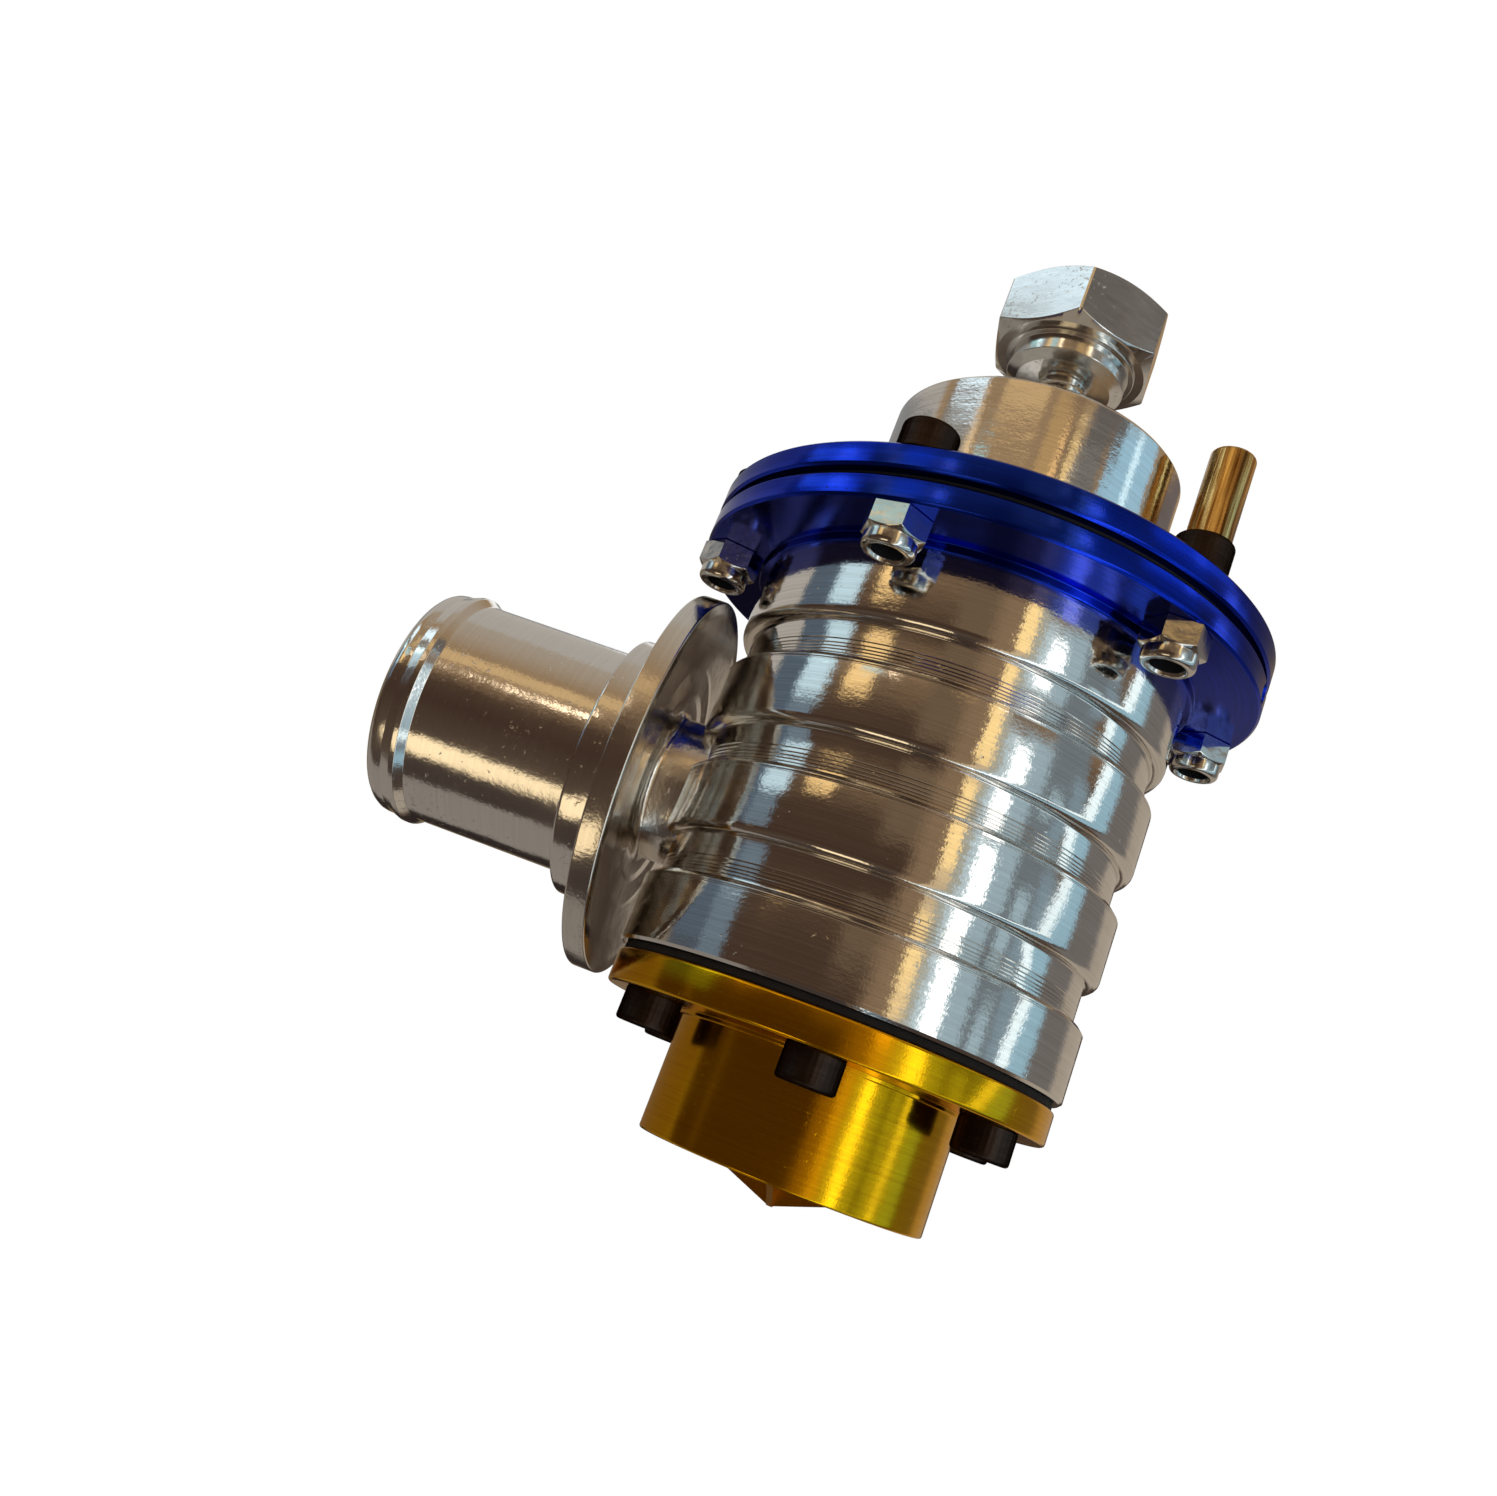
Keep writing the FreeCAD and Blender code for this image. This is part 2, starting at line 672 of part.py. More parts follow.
def hose_adapter():
    # Step, tail, bead and rounded lip are one turning over a bore that opens outwards
    spigot_end = horn_back - adapter_spigot_length + slip
    bead = tail_radius + bead_height
    bead_end = bead_start + bead_width
    lip = tail_radius + lip_height
    step = tail_radius + adapter_step
    shape = turned([
        (throat, spigot_end), (adapter_spigot_radius, spigot_end),
        (adapter_spigot_radius, horn_back), (step, horn_back, 0.3), (step, step_end, 0.4),
        (tail_radius, step_end), (tail_radius, bead_start), (bead, bead_start + 0.9, 0.5),
        (bead, bead_end - 0.9, 0.5), (lip, bead_end), (lip, tail_end, lip_rounding),
        (tail_bore, tail_end, 0.3), (tail_bore, step_end + 2.0), (throat, horn_back + 1.0)])
    return to_outlet(shape)


def lock_nut():
    # Nyloc nut with its bearing face at height zero and its crimped collar pointing down
    nut = chamfered_hexagon(nut_across_flats, -nut_hex_height, 0, 30.0, bottom=False)
    collar = turned([(0, -nut_height), (nut_collar_radius, -nut_height, 0.9),
                     (nut_collar_radius + 0.15, -nut_hex_height + 0.2), (0, -nut_hex_height + 0.2)])
    nut = nut.fuse(collar).removeSplitter()
    nut = nut.cut(rod(tapped_radius, -nut_height - 1, 1))
    return nut.cut(rod(nut_insert_radius + slip, -nut_height + 0.4, -nut_height + 0.4 + nut_insert_height))


def lock_nut_insert():
    low = -nut_height + 0.4 + slip
    return turned([(tapped_radius, low), (nut_insert_radius, low),
                   (nut_insert_radius, low + nut_insert_height - 2 * slip),
                   (tapped_radius, low + nut_insert_height - 2 * slip)])


def inlet_screws():
    screw = socket_screw(inlet_screw_length)
    screw.rotate(AXIS, V(1, 0, 0), 180)
    return set_of(screw, ring_bolt_count, inlet_bolt_circle, inlet_bolt_phase, flange_bottom)


def ring_set(shape, level):
    return set_of(shape, ring_bolt_count, ring_bolt_circle, ring_bolt_phase, level)


nodes = {
    "inlet_flange": inlet_flange(),
    "inlet_gasket": inlet_gasket(),
    "inlet_screws": inlet_screws(),
    "body": body(),
    "stem_bush": stem_bush(),
    "stem_seal": stem_seal(),
    "lower_ring": lower_ring(),
    "upper_ring": upper_ring(),
    "ring_screws": ring_set(socket_screw(ring_screw_length), ring_top),
    "ring_nuts": ring_set(lock_nut(), ring_bottom),
    "nut_inserts": ring_set(lock_nut_insert(), ring_bottom),
    "diaphragm": diaphragm(),
    "cap": cap(),
    "vacuum_nipple": vacuum_nipple(),
    "adjuster": adjuster(),
    "adjuster_seal": adjuster_seal(),
    "spring_seat": spring_seat(),
    "main_spring": main_spring(),
    "cup": cup(),
    "clamp_ring": clamp_ring(),
    "stem": stem(),
    "stem_washer": stem_washer(),
    "stem_nut": stem_nut(),
    "poppet": poppet(),
    "poppet_seal": poppet_seal(),
    "outlet_horn": outlet_horn(),
    "hose_adapter": hose_adapter(),
}

os.makedirs("parts", exist_ok=True)
for name, shape in nodes.items():
    shape.exportStep("parts/" + name + ".step")
    print(name, "solids", len(shape.Solids), "valid", shape.isValid(), "volume", round(shape.Volume, 1))
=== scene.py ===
import math
import bpy
import bmesh
import numpy as np
from mathutils import Matrix, Vector


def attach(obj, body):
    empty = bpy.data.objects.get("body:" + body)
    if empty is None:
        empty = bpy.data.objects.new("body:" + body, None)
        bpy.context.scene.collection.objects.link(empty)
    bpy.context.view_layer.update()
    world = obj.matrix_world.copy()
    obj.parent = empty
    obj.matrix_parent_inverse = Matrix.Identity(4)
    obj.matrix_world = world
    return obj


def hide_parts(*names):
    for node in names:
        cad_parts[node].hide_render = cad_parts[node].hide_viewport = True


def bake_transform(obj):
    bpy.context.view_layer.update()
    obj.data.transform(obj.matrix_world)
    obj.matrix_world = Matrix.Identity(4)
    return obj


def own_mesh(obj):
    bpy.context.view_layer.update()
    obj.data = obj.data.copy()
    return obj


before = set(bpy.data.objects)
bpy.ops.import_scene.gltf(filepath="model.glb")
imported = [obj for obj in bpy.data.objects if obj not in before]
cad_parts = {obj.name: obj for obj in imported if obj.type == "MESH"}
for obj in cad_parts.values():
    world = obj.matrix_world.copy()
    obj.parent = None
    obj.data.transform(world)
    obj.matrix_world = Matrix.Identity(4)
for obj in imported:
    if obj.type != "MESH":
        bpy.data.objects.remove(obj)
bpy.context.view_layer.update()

mm = 0.001
print("frame loaded")


# Camera, at the photograph's viewing angle

camera = {
    "place": (0.00565, -0.17073, 0.00720),
    "right": (0.9318, 0.0669, 0.3568),
    "up": (-0.3255, -0.2817, 0.9026),
    "lens": 32.10,
    "sensor": 36.0,
    "clip": (0.005, 20),
}


def addCamera(c):
    data = bpy.data.cameras.new("camera")
    data.lens = c["lens"]
    data.sensor_fit = "HORIZONTAL"
    data.sensor_width = c["sensor"]
    data.clip_start, data.clip_end = c["clip"]
    obj = bpy.data.objects.new("camera", data)
    bpy.context.scene.collection.objects.link(obj)
    right = Vector(c["right"]).normalized()
    back = right.cross(Vector(c["up"])).normalized()
    up = back.cross(right)
    turn = Matrix((right, up, back)).transposed().to_4x4()
    obj.matrix_world = Matrix.Translation(Vector(c["place"])) @ turn
    bpy.context.scene.camera = obj


addCamera(camera)
print("camera placed")


# Colours and nodes

def hexToLinear(text):
    value = np.array([int(text[i:i + 2], 16) for i in (1, 3, 5)]) / 255
    linear = np.where(value <= 0.04045, value / 12.92, ((value + 0.055) / 1.055) ** 2.4)
    return (*linear.tolist(), 1.0)


def addNode(tree, kind, settings=None):
    # settings: a socket's name or number, or a property of the node -> its value, or another
    # node's output to link it to
    node = tree.nodes.new("ShaderNode" + kind)
    for key, value in (settings or {}).items():
        if isinstance(value, bpy.types.NodeSocket):
            tree.links.new(value, node.inputs[key])
        elif isinstance(key, str) and hasattr(node, key):
            setattr(node, key, value)
        else:
            node.inputs[key].default_value = value
    return node


def maths(tree, operation, *values, kind="Math"):
    return addNode(tree, kind, {"operation": operation, **dict(enumerate(values))}).outputs[0]


def mapRange(tree, value, start, end, low=0.0, high=1.0, shape="LINEAR"):
    settings = {"interpolation_type": shape, "Value": value, "From Min": start, "From Max": end,
                "To Min": low, "To Max": high}
    return addNode(tree, "MapRange", settings).outputs["Result"]


def mixColours(tree, factor, first, second):
    settings = {"data_type": "RGBA", 0: factor, 6: first, 7: second}
    return addNode(tree, "Mix", settings).outputs[2]


def addNoise(tree, where, size, detail=2.0, roughness=0.5):
    # size of a cell in mm, or (round the circle, along the profile) for a stretched pattern
    settings = {"Detail": detail, "Roughness": roughness, "Scale": 1.0}
    if isinstance(size, tuple):
        around, along = 1 / (size[0] * mm), 1 / (size[1] * mm)
        stretch = {"Scale": (around, around, along), "Vector": where}
        settings["Vector"] = addNode(tree, "Mapping", stretch).outputs["Vector"]
    else:
        settings.update({"Scale": 1 / (size * mm), "Vector": where})
    return addNode(tree, "TexNoise", settings).outputs["Fac"]


def addBump(tree, height, strength, depth, under=None):
    # depth in mm, on top of the bump under it
    settings = {"Height": height, "Strength": strength, "Distance": depth * mm}
    if under is not None:
        settings["Normal"] = under
    return addNode(tree, "Bump", settings).outputs["Normal"]


def newMaterial(name):
    material = bpy.data.materials.new(name)
    material.use_nodes = True
    material.node_tree.nodes.clear()
    return material, material.node_tree


def setRamp(node, stops):
    # stops: (position, colour) from left to right
    ramp = node.color_ramp
    while len(ramp.elements) > 1:
        ramp.elements.remove(ramp.elements[-1])
    ramp.elements[0].position, ramp.elements[0].color = stops[0]
    for position, colour in stops[1:]:
        ramp.elements.new(position).color = colour


def grey(level):
    return (level, level, level, 1.0)


# What the metal finishes share unless one says otherwise. Sizes are in mm:
# lines: spacing along the profile, length round the circle, strength of the tool's feed marks
# waves: size round the circle, size along the profile, strength
# dings: size, level that only the rarest peaks of the noise reach, strength
# ragged: how far the normal leans, and the pattern's size round the circle and along the profile
# grain: size, strength; coat: weight, roughness
plainMetal = {
    "contrast": 1.0, "waves": (6, 6, 0.05), "dings": (0.5, 0.93, 0.4), "ragged": None, "axis": "Z",
    "anisotropy": 0.0, "coat": (0.0, 0.1), "edge": "#FFFFFF", "solid": False,
    "waveDepth": 0.4, "lineDepth": 0.02, "grainDepth": 0.02, "dingDepth": 0.04, "dingEdge": 0.05,
    "patchSize": 7, "patchWeight": 0.35, "smudgeSize": 9, "smudgeRange": (0.35, 0.7),
}


def raggedNormal(tree, where, s):
    # each fine line is cut a little differently, so a streak of light has a ragged edge: the
    # normal leans in the direction round the piece's own axis, read from the turned attribute
    lean, *size = s["ragged"]
    part = addNode(tree, "SeparateXYZ", {0: where}).outputs
    across = "Z" if s["axis"] == "X" else "X"
    around = addNode(tree, "CombineXYZ",
                     {"Y": part["X"], across: maths(tree, "MULTIPLY", part["Y"], -1.0)}).outputs[0]
    around = addNode(tree, "VectorTransform", {"vector_type": "VECTOR", 0: around}).outputs[0]
    around = maths(tree, "NORMALIZE", around, kind="VectorMath")
    ragged = addNoise(tree, where, tuple(size), detail=4.0, roughness=0.7)
    ragged = mapRange(tree, ragged, 0.0, 1.0, -lean, lean)
    aside = addNode(tree, "VectorMath", {"operation": "SCALE", 0: around, "Scale": ragged})
    plain = addNode(tree, "NewGeometry").outputs["Normal"]
    normal = maths(tree, "ADD", plain, aside.outputs[0], kind="VectorMath")
    return maths(tree, "NORMALIZE", normal, kind="VectorMath"), around


# Turned metal. Lines run round the axis because the pattern reads the piece's own "turned"
# attribute: metres round the circle in x and y, metres along the profile in z. The model's own
# solids have no such attribute, so their finishes are "solid" and read Object coordinates.
def turnedMetal(name, changes):
    s = {**plainMetal, **changes}
    material, tree = newMaterial(name)
    solid = addNode(tree, "TexCoord").outputs["Object"]
    where = solid
    if not s["solid"]:
        where = addNode(tree, "Attribute", {"attribute_name": "turned"}).outputs["Vector"]
    # feed marks of the cutting tool, drawn coarser than real so that they show
    spacing, length, lineStrength = s["lines"]
    lines = addNoise(tree, where, (length, spacing), detail=3.0, roughness=0.6)
    # slow unevenness left by hand polishing, which makes the streaks waver
    waveAround, waveAlong, waveStrength = s["waves"]
    waves = addNoise(tree, where, (waveAround, waveAlong))
    # dings and handling marks, in patches where the part was knocked or held
    dingSize, level, dingStrength = s["dings"]
    dots = addNoise(tree, solid, dingSize, detail=3.0)
    patch = addNoise(tree, solid, s["patchSize"], detail=1.0)
    dots = maths(tree, "MULTIPLY_ADD", patch, s["patchWeight"], dots)
    dings = mapRange(tree, dots, level, level + s["dingEdge"])
    grainSize, grainStrength = s["grain"]
    grain = addNoise(tree, solid, grainSize)
    normal, tangent = None, {}
    if s["ragged"]:
        normal, around = raggedNormal(tree, where, s)
        tangent = {"Tangent": around}
    bump = addBump(tree, waves, waveStrength, s["waveDepth"], normal)
    bump = addBump(tree, lines, lineStrength, s["lineDepth"], bump)
    bump = addBump(tree, grain, grainStrength, s["grainDepth"], bump)
    bump = addBump(tree, dings, dingStrength, -s["dingDepth"], bump)
    # smudges: the finish is a little duller in patches
    smudge = addNoise(tree, solid, s["smudgeSize"], detail=4.0)
    rough = mapRange(tree, smudge, *s["smudgeRange"], *s["roughness"])
    # the cut lines are a little deeper in colour; contrast sets how sharply they part
    spread = 0.5 / s["contrast"]
    parted = mapRange(tree, lines, 0.5 - spread, 0.5 + spread)
    colour = mixColours(tree, parted, hexToLinear(s["colour"]), hexToLinear(s["deep"]))
    coat, coatRoughness = s["coat"]
    shader = addNode(tree, "BsdfPrincipled", {
        "Metallic": 1.0, "Base Color": colour, "Roughness": rough, "Normal": bump, **tangent,
        "Coat Weight": coat, "Coat Roughness": coatRoughness,
        "Specular Tint": hexToLinear(s["edge"]),
        "Anisotropic": s["anisotropy"], "Anisotropic Rotation": 0.25})
    addNode(tree, "OutputMaterial", {"Surface": shader.outputs["BSDF"]})
    return material


metals = {}

# Aluminium, turned and polished by hand: mirror-like with faint rings and small dings
metals["polishedAluminium"] = {
    "colour": "#EAE7E3", "deep": "#C9C4BD", "roughness": (0.055, 0.12),
    "lines": (0.24, 26, 0.18), "contrast": 1.5, "waves": (9, 5, 0.16), "dings": (0.8, 0.925, 0.5),
    "ragged": (0.034, 2.5, 0.4), "anisotropy": 0.3, "grain": (0.4, 0.45)}

# The same metal on the outlet, which was turned about its own axis along X
metals["polishedOutlet"] = {
    "colour": "#EAE7E3", "deep": "#CFCAC3", "roughness": (0.09, 0.17), "axis": "X",
    "lines": (0.25, 26, 0.04), "contrast": 0.6, "waves": (8, 5, 0.16), "dings": (0.7, 0.87, 0.6),
    "ragged": (0.03, 2, 0.7), "anisotropy": 0.2, "grain": (0.45, 0.7)}

# The horn, burnished by hand behind its flange and duller than the turned tail
metals["burnishedHorn"] = {
    **metals["polishedOutlet"], "colour": "#E6E2DC", "deep": "#C9C3BA",
    "roughness": (0.14, 0.24), "grain": (0.45, 0.9)}

# Aluminium as it left the lathe, for the adjuster
metals["turnedAluminium"] = {
    "colour": "#E8E7E4", "deep": "#C2BFB9", "roughness": (0.12, 0.2),
    "lines": (0.8, 3, 0.06), "waves": (12, 6, 0.1), "dings": (0.5, 0.86, 0.7),
    "ragged": (0.02, 2, 0.8), "anisotropy": 0.1, "grain": (0.3, 0.25)}

# The same on the hidden turnings, which are the model's own solids
metals["turnedInside"] = {
    "colour": "#DCDBD8", "deep": "#B9B6B0", "roughness": (0.2, 0.3), "solid": True,
    "lines": (0.3, 12, 0.2), "waves": (6, 6, 0.06), "dings": (0.6, 0.91, 0.5), "grain": (0.2, 0.15)}

# Aluminium, dyed gold in the anodising bath: amber depth under a clear hard layer
metals["goldAnodised"] = {
    "colour": "#F2BC06", "deep": "#CE8E03", "roughness": (0.14, 0.21),
    "lines": (0.3, 30, 0.12), "waves": (10, 8, 0.08), "dings": (0.5, 0.91, 0.4),
    "ragged": (0.025, 4, 0.4), "anisotropy": 0.3, "grain": (0.25, 0.35),
    "coat": (0.08, 0.15), "edge": "#FFF2D8"}

# The same dye on the milled poppet, which is the model's own solid
metals["goldMilled"] = {
    "colour": "#F0B414", "deep": "#CE8A08", "roughness": (0.18, 0.28), "solid": True,
    "lines": (0.4, 8, 0.15), "waves": (6, 6, 0.06), "dings": (0.5, 0.91, 0.4),
    "grain": (0.25, 0.3), "coat": (0.1, 0.15)}

# Aluminium, dyed royal blue in the anodising bath
metals["blueAnodised"] = {
    "colour": "#0C36D2", "deep": "#08249A", "roughness": (0.12, 0.19),
    "lines": (0.3, 40, 0.12), "contrast": 1.5, "waves": (12, 8, 0.08), "dings": (0.6, 0.9, 0.6),
    "ragged": (0.025, 4, 0.4), "anisotropy": 0.3, "grain": (0.25, 0.3),
    "coat": (0.12, 0.08), "edge": "#E4E4DC"}

# Steel with black oxide, oiled: nearly black with a soft sheen
metals["blackOxide"] = {
    "colour": "#453933", "deep": "#271E1A", "roughness": (0.36, 0.5), "edge": "#80746C",
    "lines": (0.4, 6, 0.2), "waves": (4, 4, 0.05), "dings": (0.5, 0.87, 0.8), "grain": (0.25, 0.5)}

# Steel, bright zinc plated: cold-formed, so it is smooth and slightly uneven
metals["brightZinc"] = {
    "colour": "#E2E0DC", "deep": "#B9B5AE", "roughness": (0.1, 0.18),
    "lines": (1.5, 4, 0.3), "waves": (2.5, 2, 0.14), "dings": (0.6, 0.87, 0.7), "grain": (0.3, 0.2)}
metals["zincInside"] = {
    "colour": "#D8D6D2", "deep": "#B0ACA5", "roughness": (0.16, 0.24), "solid": True,
    "lines": (1.5, 4, 0.1), "waves": (2.5, 2, 0.08), "dings": (0.6, 0.91, 0.5), "grain": (0.3, 0.15)}

# Brass tube, drawn: the streaks run along it
metals["drawnBrass"] = {
    "colour": "#F2CE84", "deep": "#7A4A10", "roughness": (0.16, 0.26),
    "lines": (16, 0.5, 0.5), "contrast": 3.0, "waves": (2, 12, 0.12), "dings": (0.5, 0.89, 0.6),
    "ragged": (0.35, 0.45, 12), "grain": (0.3, 0.4)}

# Steel, rolled and ground, of the stem and its washer
metals["groundSteel"] = {
    "colour": "#C4C3C1", "deep": "#A3A19D", "roughness": (0.22, 0.32), "solid": True,
    "lines": (0.3, 10, 0.15), "grain": (0.2, 0.1)}

# Spring steel, hard drawn and oiled
metals["springSteel"] = {
    "colour": "#6E6D6C", "deep": "#4B4A49", "roughness": (0.3, 0.42), "solid": True,
    "lines": (0.5, 3, 0.2), "grain": (0.2, 0.15)}

# Bearing bronze, bored, of the stem's bush
metals["bearingBronze"] = {
    "colour": "#B98A4E", "deep": "#8C5E2C", "roughness": (0.28, 0.4), "solid": True,
    "lines": (0.3, 20, 0.2), "grain": (0.2, 0.15)}

finishes = {name: turnedMetal(name, settings) for name, settings in metals.items()}


# Moulded rubber, fibre and nylon: matt, with a fine even grain
def mouldedSoft(name, s):
    material, tree = newMaterial(name)
    solid = addNode(tree, "TexCoord").outputs["Object"]
    size, strength, depth = s["grain"]
    grain = addNoise(tree, solid, size, detail=3.0)
    shader = addNode(tree, "BsdfPrincipled", {
        "Base Color": mixColours(tree, grain, hexToLinear(s["colour"]), hexToLinear(s["deep"])),
        "Roughness": s["roughness"], "IOR": s["ior"], "Normal": addBump(tree, grain, strength, depth)})
    addNode(tree, "OutputMaterial", {"Surface": shader.outputs["BSDF"]})
    return material


# grain: size, strength, depth
softs = {
    "blackRubber": {"colour": "#1C1B1B", "deep": "#100F0F", "roughness": 0.62, "ior": 1.52,
                    "grain": (0.25, 0.4, 0.03)},
    "fibreGasket": {"colour": "#17100D", "deep": "#080504", "roughness": 0.9, "ior": 1.5,
                    "grain": (0.18, 0.6, 0.03)},
    "nylonInsert": {"colour": "#17181C", "deep": "#0E0F12", "roughness": 0.45, "ior": 1.53,
                    "grain": (0.3, 0.2, 0.03)},
}
for name, settings in softs.items():
    finishes[name] = mouldedSoft(name, settings)
print("finishes made")


# Surfaces

sharpAngle = math.radians(28)
weldDistance = 1e-7  # metres
anyPhase = 6.28  # radians, for the waves of the torn and cut edges
ownMarks = 7  # mm between the marks of one copy and the next


def outlinePoints(corners, closed=True, arcSteps=5):
    # Corners are (radius, height[, rounding]) in mm. A rounded corner becomes an arc:
    # centre + rounding * (cos t, sin t), swept from one tangent point to the other.
    pts = np.array([c[:2] for c in corners], float)
    count = len(pts)
    rows = []
    for i, corner in enumerate(corners):
        r = corner[2] if len(corner) > 2 else 0
        end = not closed and i in (0, count - 1)
        if not r or end:
            rows.append(pts[i][None])
            continue
        back = pts[i - 1] - pts[i]
        ahead = pts[(i + 1) % count] - pts[i]
        back /= np.linalg.norm(back)
        ahead /= np.linalg.norm(ahead)
        half = math.acos(np.clip(back @ ahead, -1, 1)) / 2
        middle = back + ahead
        centre = pts[i] + middle / np.linalg.norm(middle) * r / math.sin(half)
        first = pts[i] + back * r / math.tan(half) - centre
        last = pts[i] + ahead * r / math.tan(half) - centre
        a0 = math.atan2(first[1], first[0])
        sweep = math.atan2(first[0] * last[1] - first[1] * last[0], first @ last)
        t = a0 + sweep * np.linspace(0, 1, arcSteps + 1)
        rows.append(centre + r * np.stack([np.cos(t), np.sin(t)], 1))
    return np.concatenate(rows)


def makeMesh(name, points, faces, turned, material):
    mesh = bpy.data.meshes.new(name)
    mesh.vertices.add(len(points))
    mesh.vertices.foreach_set("co", (points * mm).ravel())
    mesh.loops.add(faces.size)
    mesh.loops.foreach_set("vertex_index", faces.ravel())
    mesh.polygons.add(len(faces))
    mesh.polygons.foreach_set("loop_start", np.arange(0, faces.size, faces.shape[1]))
    mesh.update(calc_edges=True)
    field = mesh.attributes.new("turned", "FLOAT_VECTOR", "POINT")
    field.data.foreach_set("vector", (turned * mm).ravel())
    work = bmesh.new()
    work.from_mesh(mesh)
    bmesh.ops.remove_doubles(work, verts=work.verts, dist=weldDistance)
    if work.calc_volume(signed=True) < 0:
        bmesh.ops.reverse_faces(work, faces=work.faces)
    work.to_mesh(mesh)
    work.free()
    mesh.validate()
    mesh.shade_smooth()
    mesh.set_sharp_from_angle(angle=sharpAngle)
    mesh.materials.append(material)
    obj = bpy.data.objects.new(name, mesh)
    bpy.context.scene.collection.objects.link(obj)
    return obj


def gridFaces(rows, cols, wrapRows):
    # Quads between neighbours on a rows x cols grid that always wraps round its columns
    i = np.arange(rows if wrapRows else rows - 1)[:, None]
    j = np.arange(cols)[None]
    i2, j2 = (i + 1) % rows, (j + 1) % cols
    quad = np.stack([i * cols + j, i * cols + j2, i2 * cols + j2, i2 * cols + j], -1)
    return quad.reshape(-1, 4)


def circleAngles(columns):
    return np.linspace(0, 2 * np.pi, columns, endpoint=False)[None]


def sweptPoints(radius, height, angle):
    # point(s, a) = (r(s, a) cos a, r(s, a) sin a, h(s, a)), whole arrays at once
    return np.stack([radius * np.cos(angle), radius * np.sin(angle),
                     np.broadcast_to(height, radius.shape)], -1)


def stackRows(rows, angle, reach, closed):
    # one grid from rows of (radius, height), each a number or an array over the angles
    radius = np.vstack([r + 0 * angle for r, z in rows])
    height = np.vstack([z + 0 * angle for r, z in rows])
    points = sweptPoints(radius, height, angle)
    # the turned attribute: round the circle at the piece's own reach, and along its profile
    step = np.hypot(np.diff(radius[:, :1], axis=0), np.diff(height[:, :1], axis=0))
    along = np.vstack([[[0]], np.cumsum(step, axis=0)]) + 0 * angle
    field = sweptPoints(reach + 0 * along, along, angle)
    faces = gridFaces(len(rows), angle.shape[1], closed)
    return points.reshape(-1, 3), faces, field.reshape(-1, 3)


def lathe(outline, columns, closed=True):
    # surface of revolution of the outline about +Z, in mm
    return stackRows(outline, circleAngles(columns), outline[:, 0].max(), closed)


def toOutlet(points, height):
    # lay an outlet piece along -X: (x, y, z) -> (-z, y, x + height)
    return np.stack([-points[:, 2], points[:, 1], points[:, 0] + height], 1)


def hexRadius(angle, acrossFlats, phase):
    # distance from the axis to a hexagon's side in each direction
    sixth = np.pi / 3
    local = (angle - phase + sixth / 2) % sixth - sixth / 2
    return acrossFlats / 2 / np.cos(np.abs(np.abs(local) - sixth / 2))


def copyRound(grid, circle, phase, level, turns, flip=False):
    # the same piece set out on a bolt circle, each turned on its own axis, joined into one mesh
    points, faces, field = grid
    if flip:
        points = points * np.array([1, -1, -1])
    copies = []
    for i, ownTurn in enumerate(turns):
        around = math.radians(phase + 360 / len(turns) * i)
        own = around + math.radians(ownTurn)
        c, s = math.cos(own), math.sin(own)
        turn = np.array([[c, s, 0], [-s, c, 0], [0, 0, 1]])
        shift = np.array([circle * math.cos(around), circle * math.sin(around), level])
        copies.append((points @ turn + shift, faces + i * len(points), field + i * ownMarks))
    return [np.concatenate(part) for part in zip(*copies)]


def place(obj, body, slot, *replaced):
    if body:
        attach(obj, body)
    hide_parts(*replaced)


def addPiece(name, grid, finish, slot, *replaced, body="housing"):
    obj = makeMesh(name, *grid, finishes[finish])
    place(obj, body, slot, *replaced)
    return obj


def cutWith(obj, cutter):
    # cut one mesh from another once, and keep the result as plain geometry
    change = obj.modifiers.new("cut", "BOOLEAN")
    change.operation = "DIFFERENCE"
    change.solver = "EXACT"
    change.object = cutter
    deps = bpy.context.evaluated_depsgraph_get()
    result = bpy.data.meshes.new_from_object(obj.evaluated_get(deps))
    obj.modifiers.clear()
    result.name = obj.data.name
    obj.data = result
    result.shade_smooth()
    result.set_sharp_from_angle(angle=sharpAngle)
    bpy.data.objects.remove(cutter)


# Body: four lands, three grooves, and the torn hole that the neck is let into

body = {
    "radius": 29.0, "bottom": 20.1, "floor": 27.4, "columns": 288, "foot": 0.35,
    "lands": (9.2, 9.2, 9.2, 9.3), "grooves": (5.2, 5.1, 4.9),
    "bevel": 0.6, "lip": 1.2, "chamber": 20.4, "chamberTop": 54.7, "stemBore": 6.1,
    "upper": 24.0, "webTop": 58.7, "spigot": 26.0, "spigotTop": 76.5,
    # a fine ring cut into the land below its top, and the tool's marks above the groove's floor
    "ring": (1.05, 0.97, 0.87, 0.8), "ringDepth": 0.1,
    "marks": (0.5, 0.9, 1.3, 1.75, 2.3), "markDepth": 0.09,
    "outletHeight": 41.2, "hole": 9.72, "clear": 0.12, "tear": 0.5, "tearSeed": 11,
    "tearWaves": 40, "tearFade": 0.55, "tearColumns": 180,
    # how torn the hole is at each distance from the valve's axis
    "tearing": ((19.0, 0.0), (26.2, 0.0), (26.9, 0.55), (28.0, 1.0), (30.5, 1.25)),
}


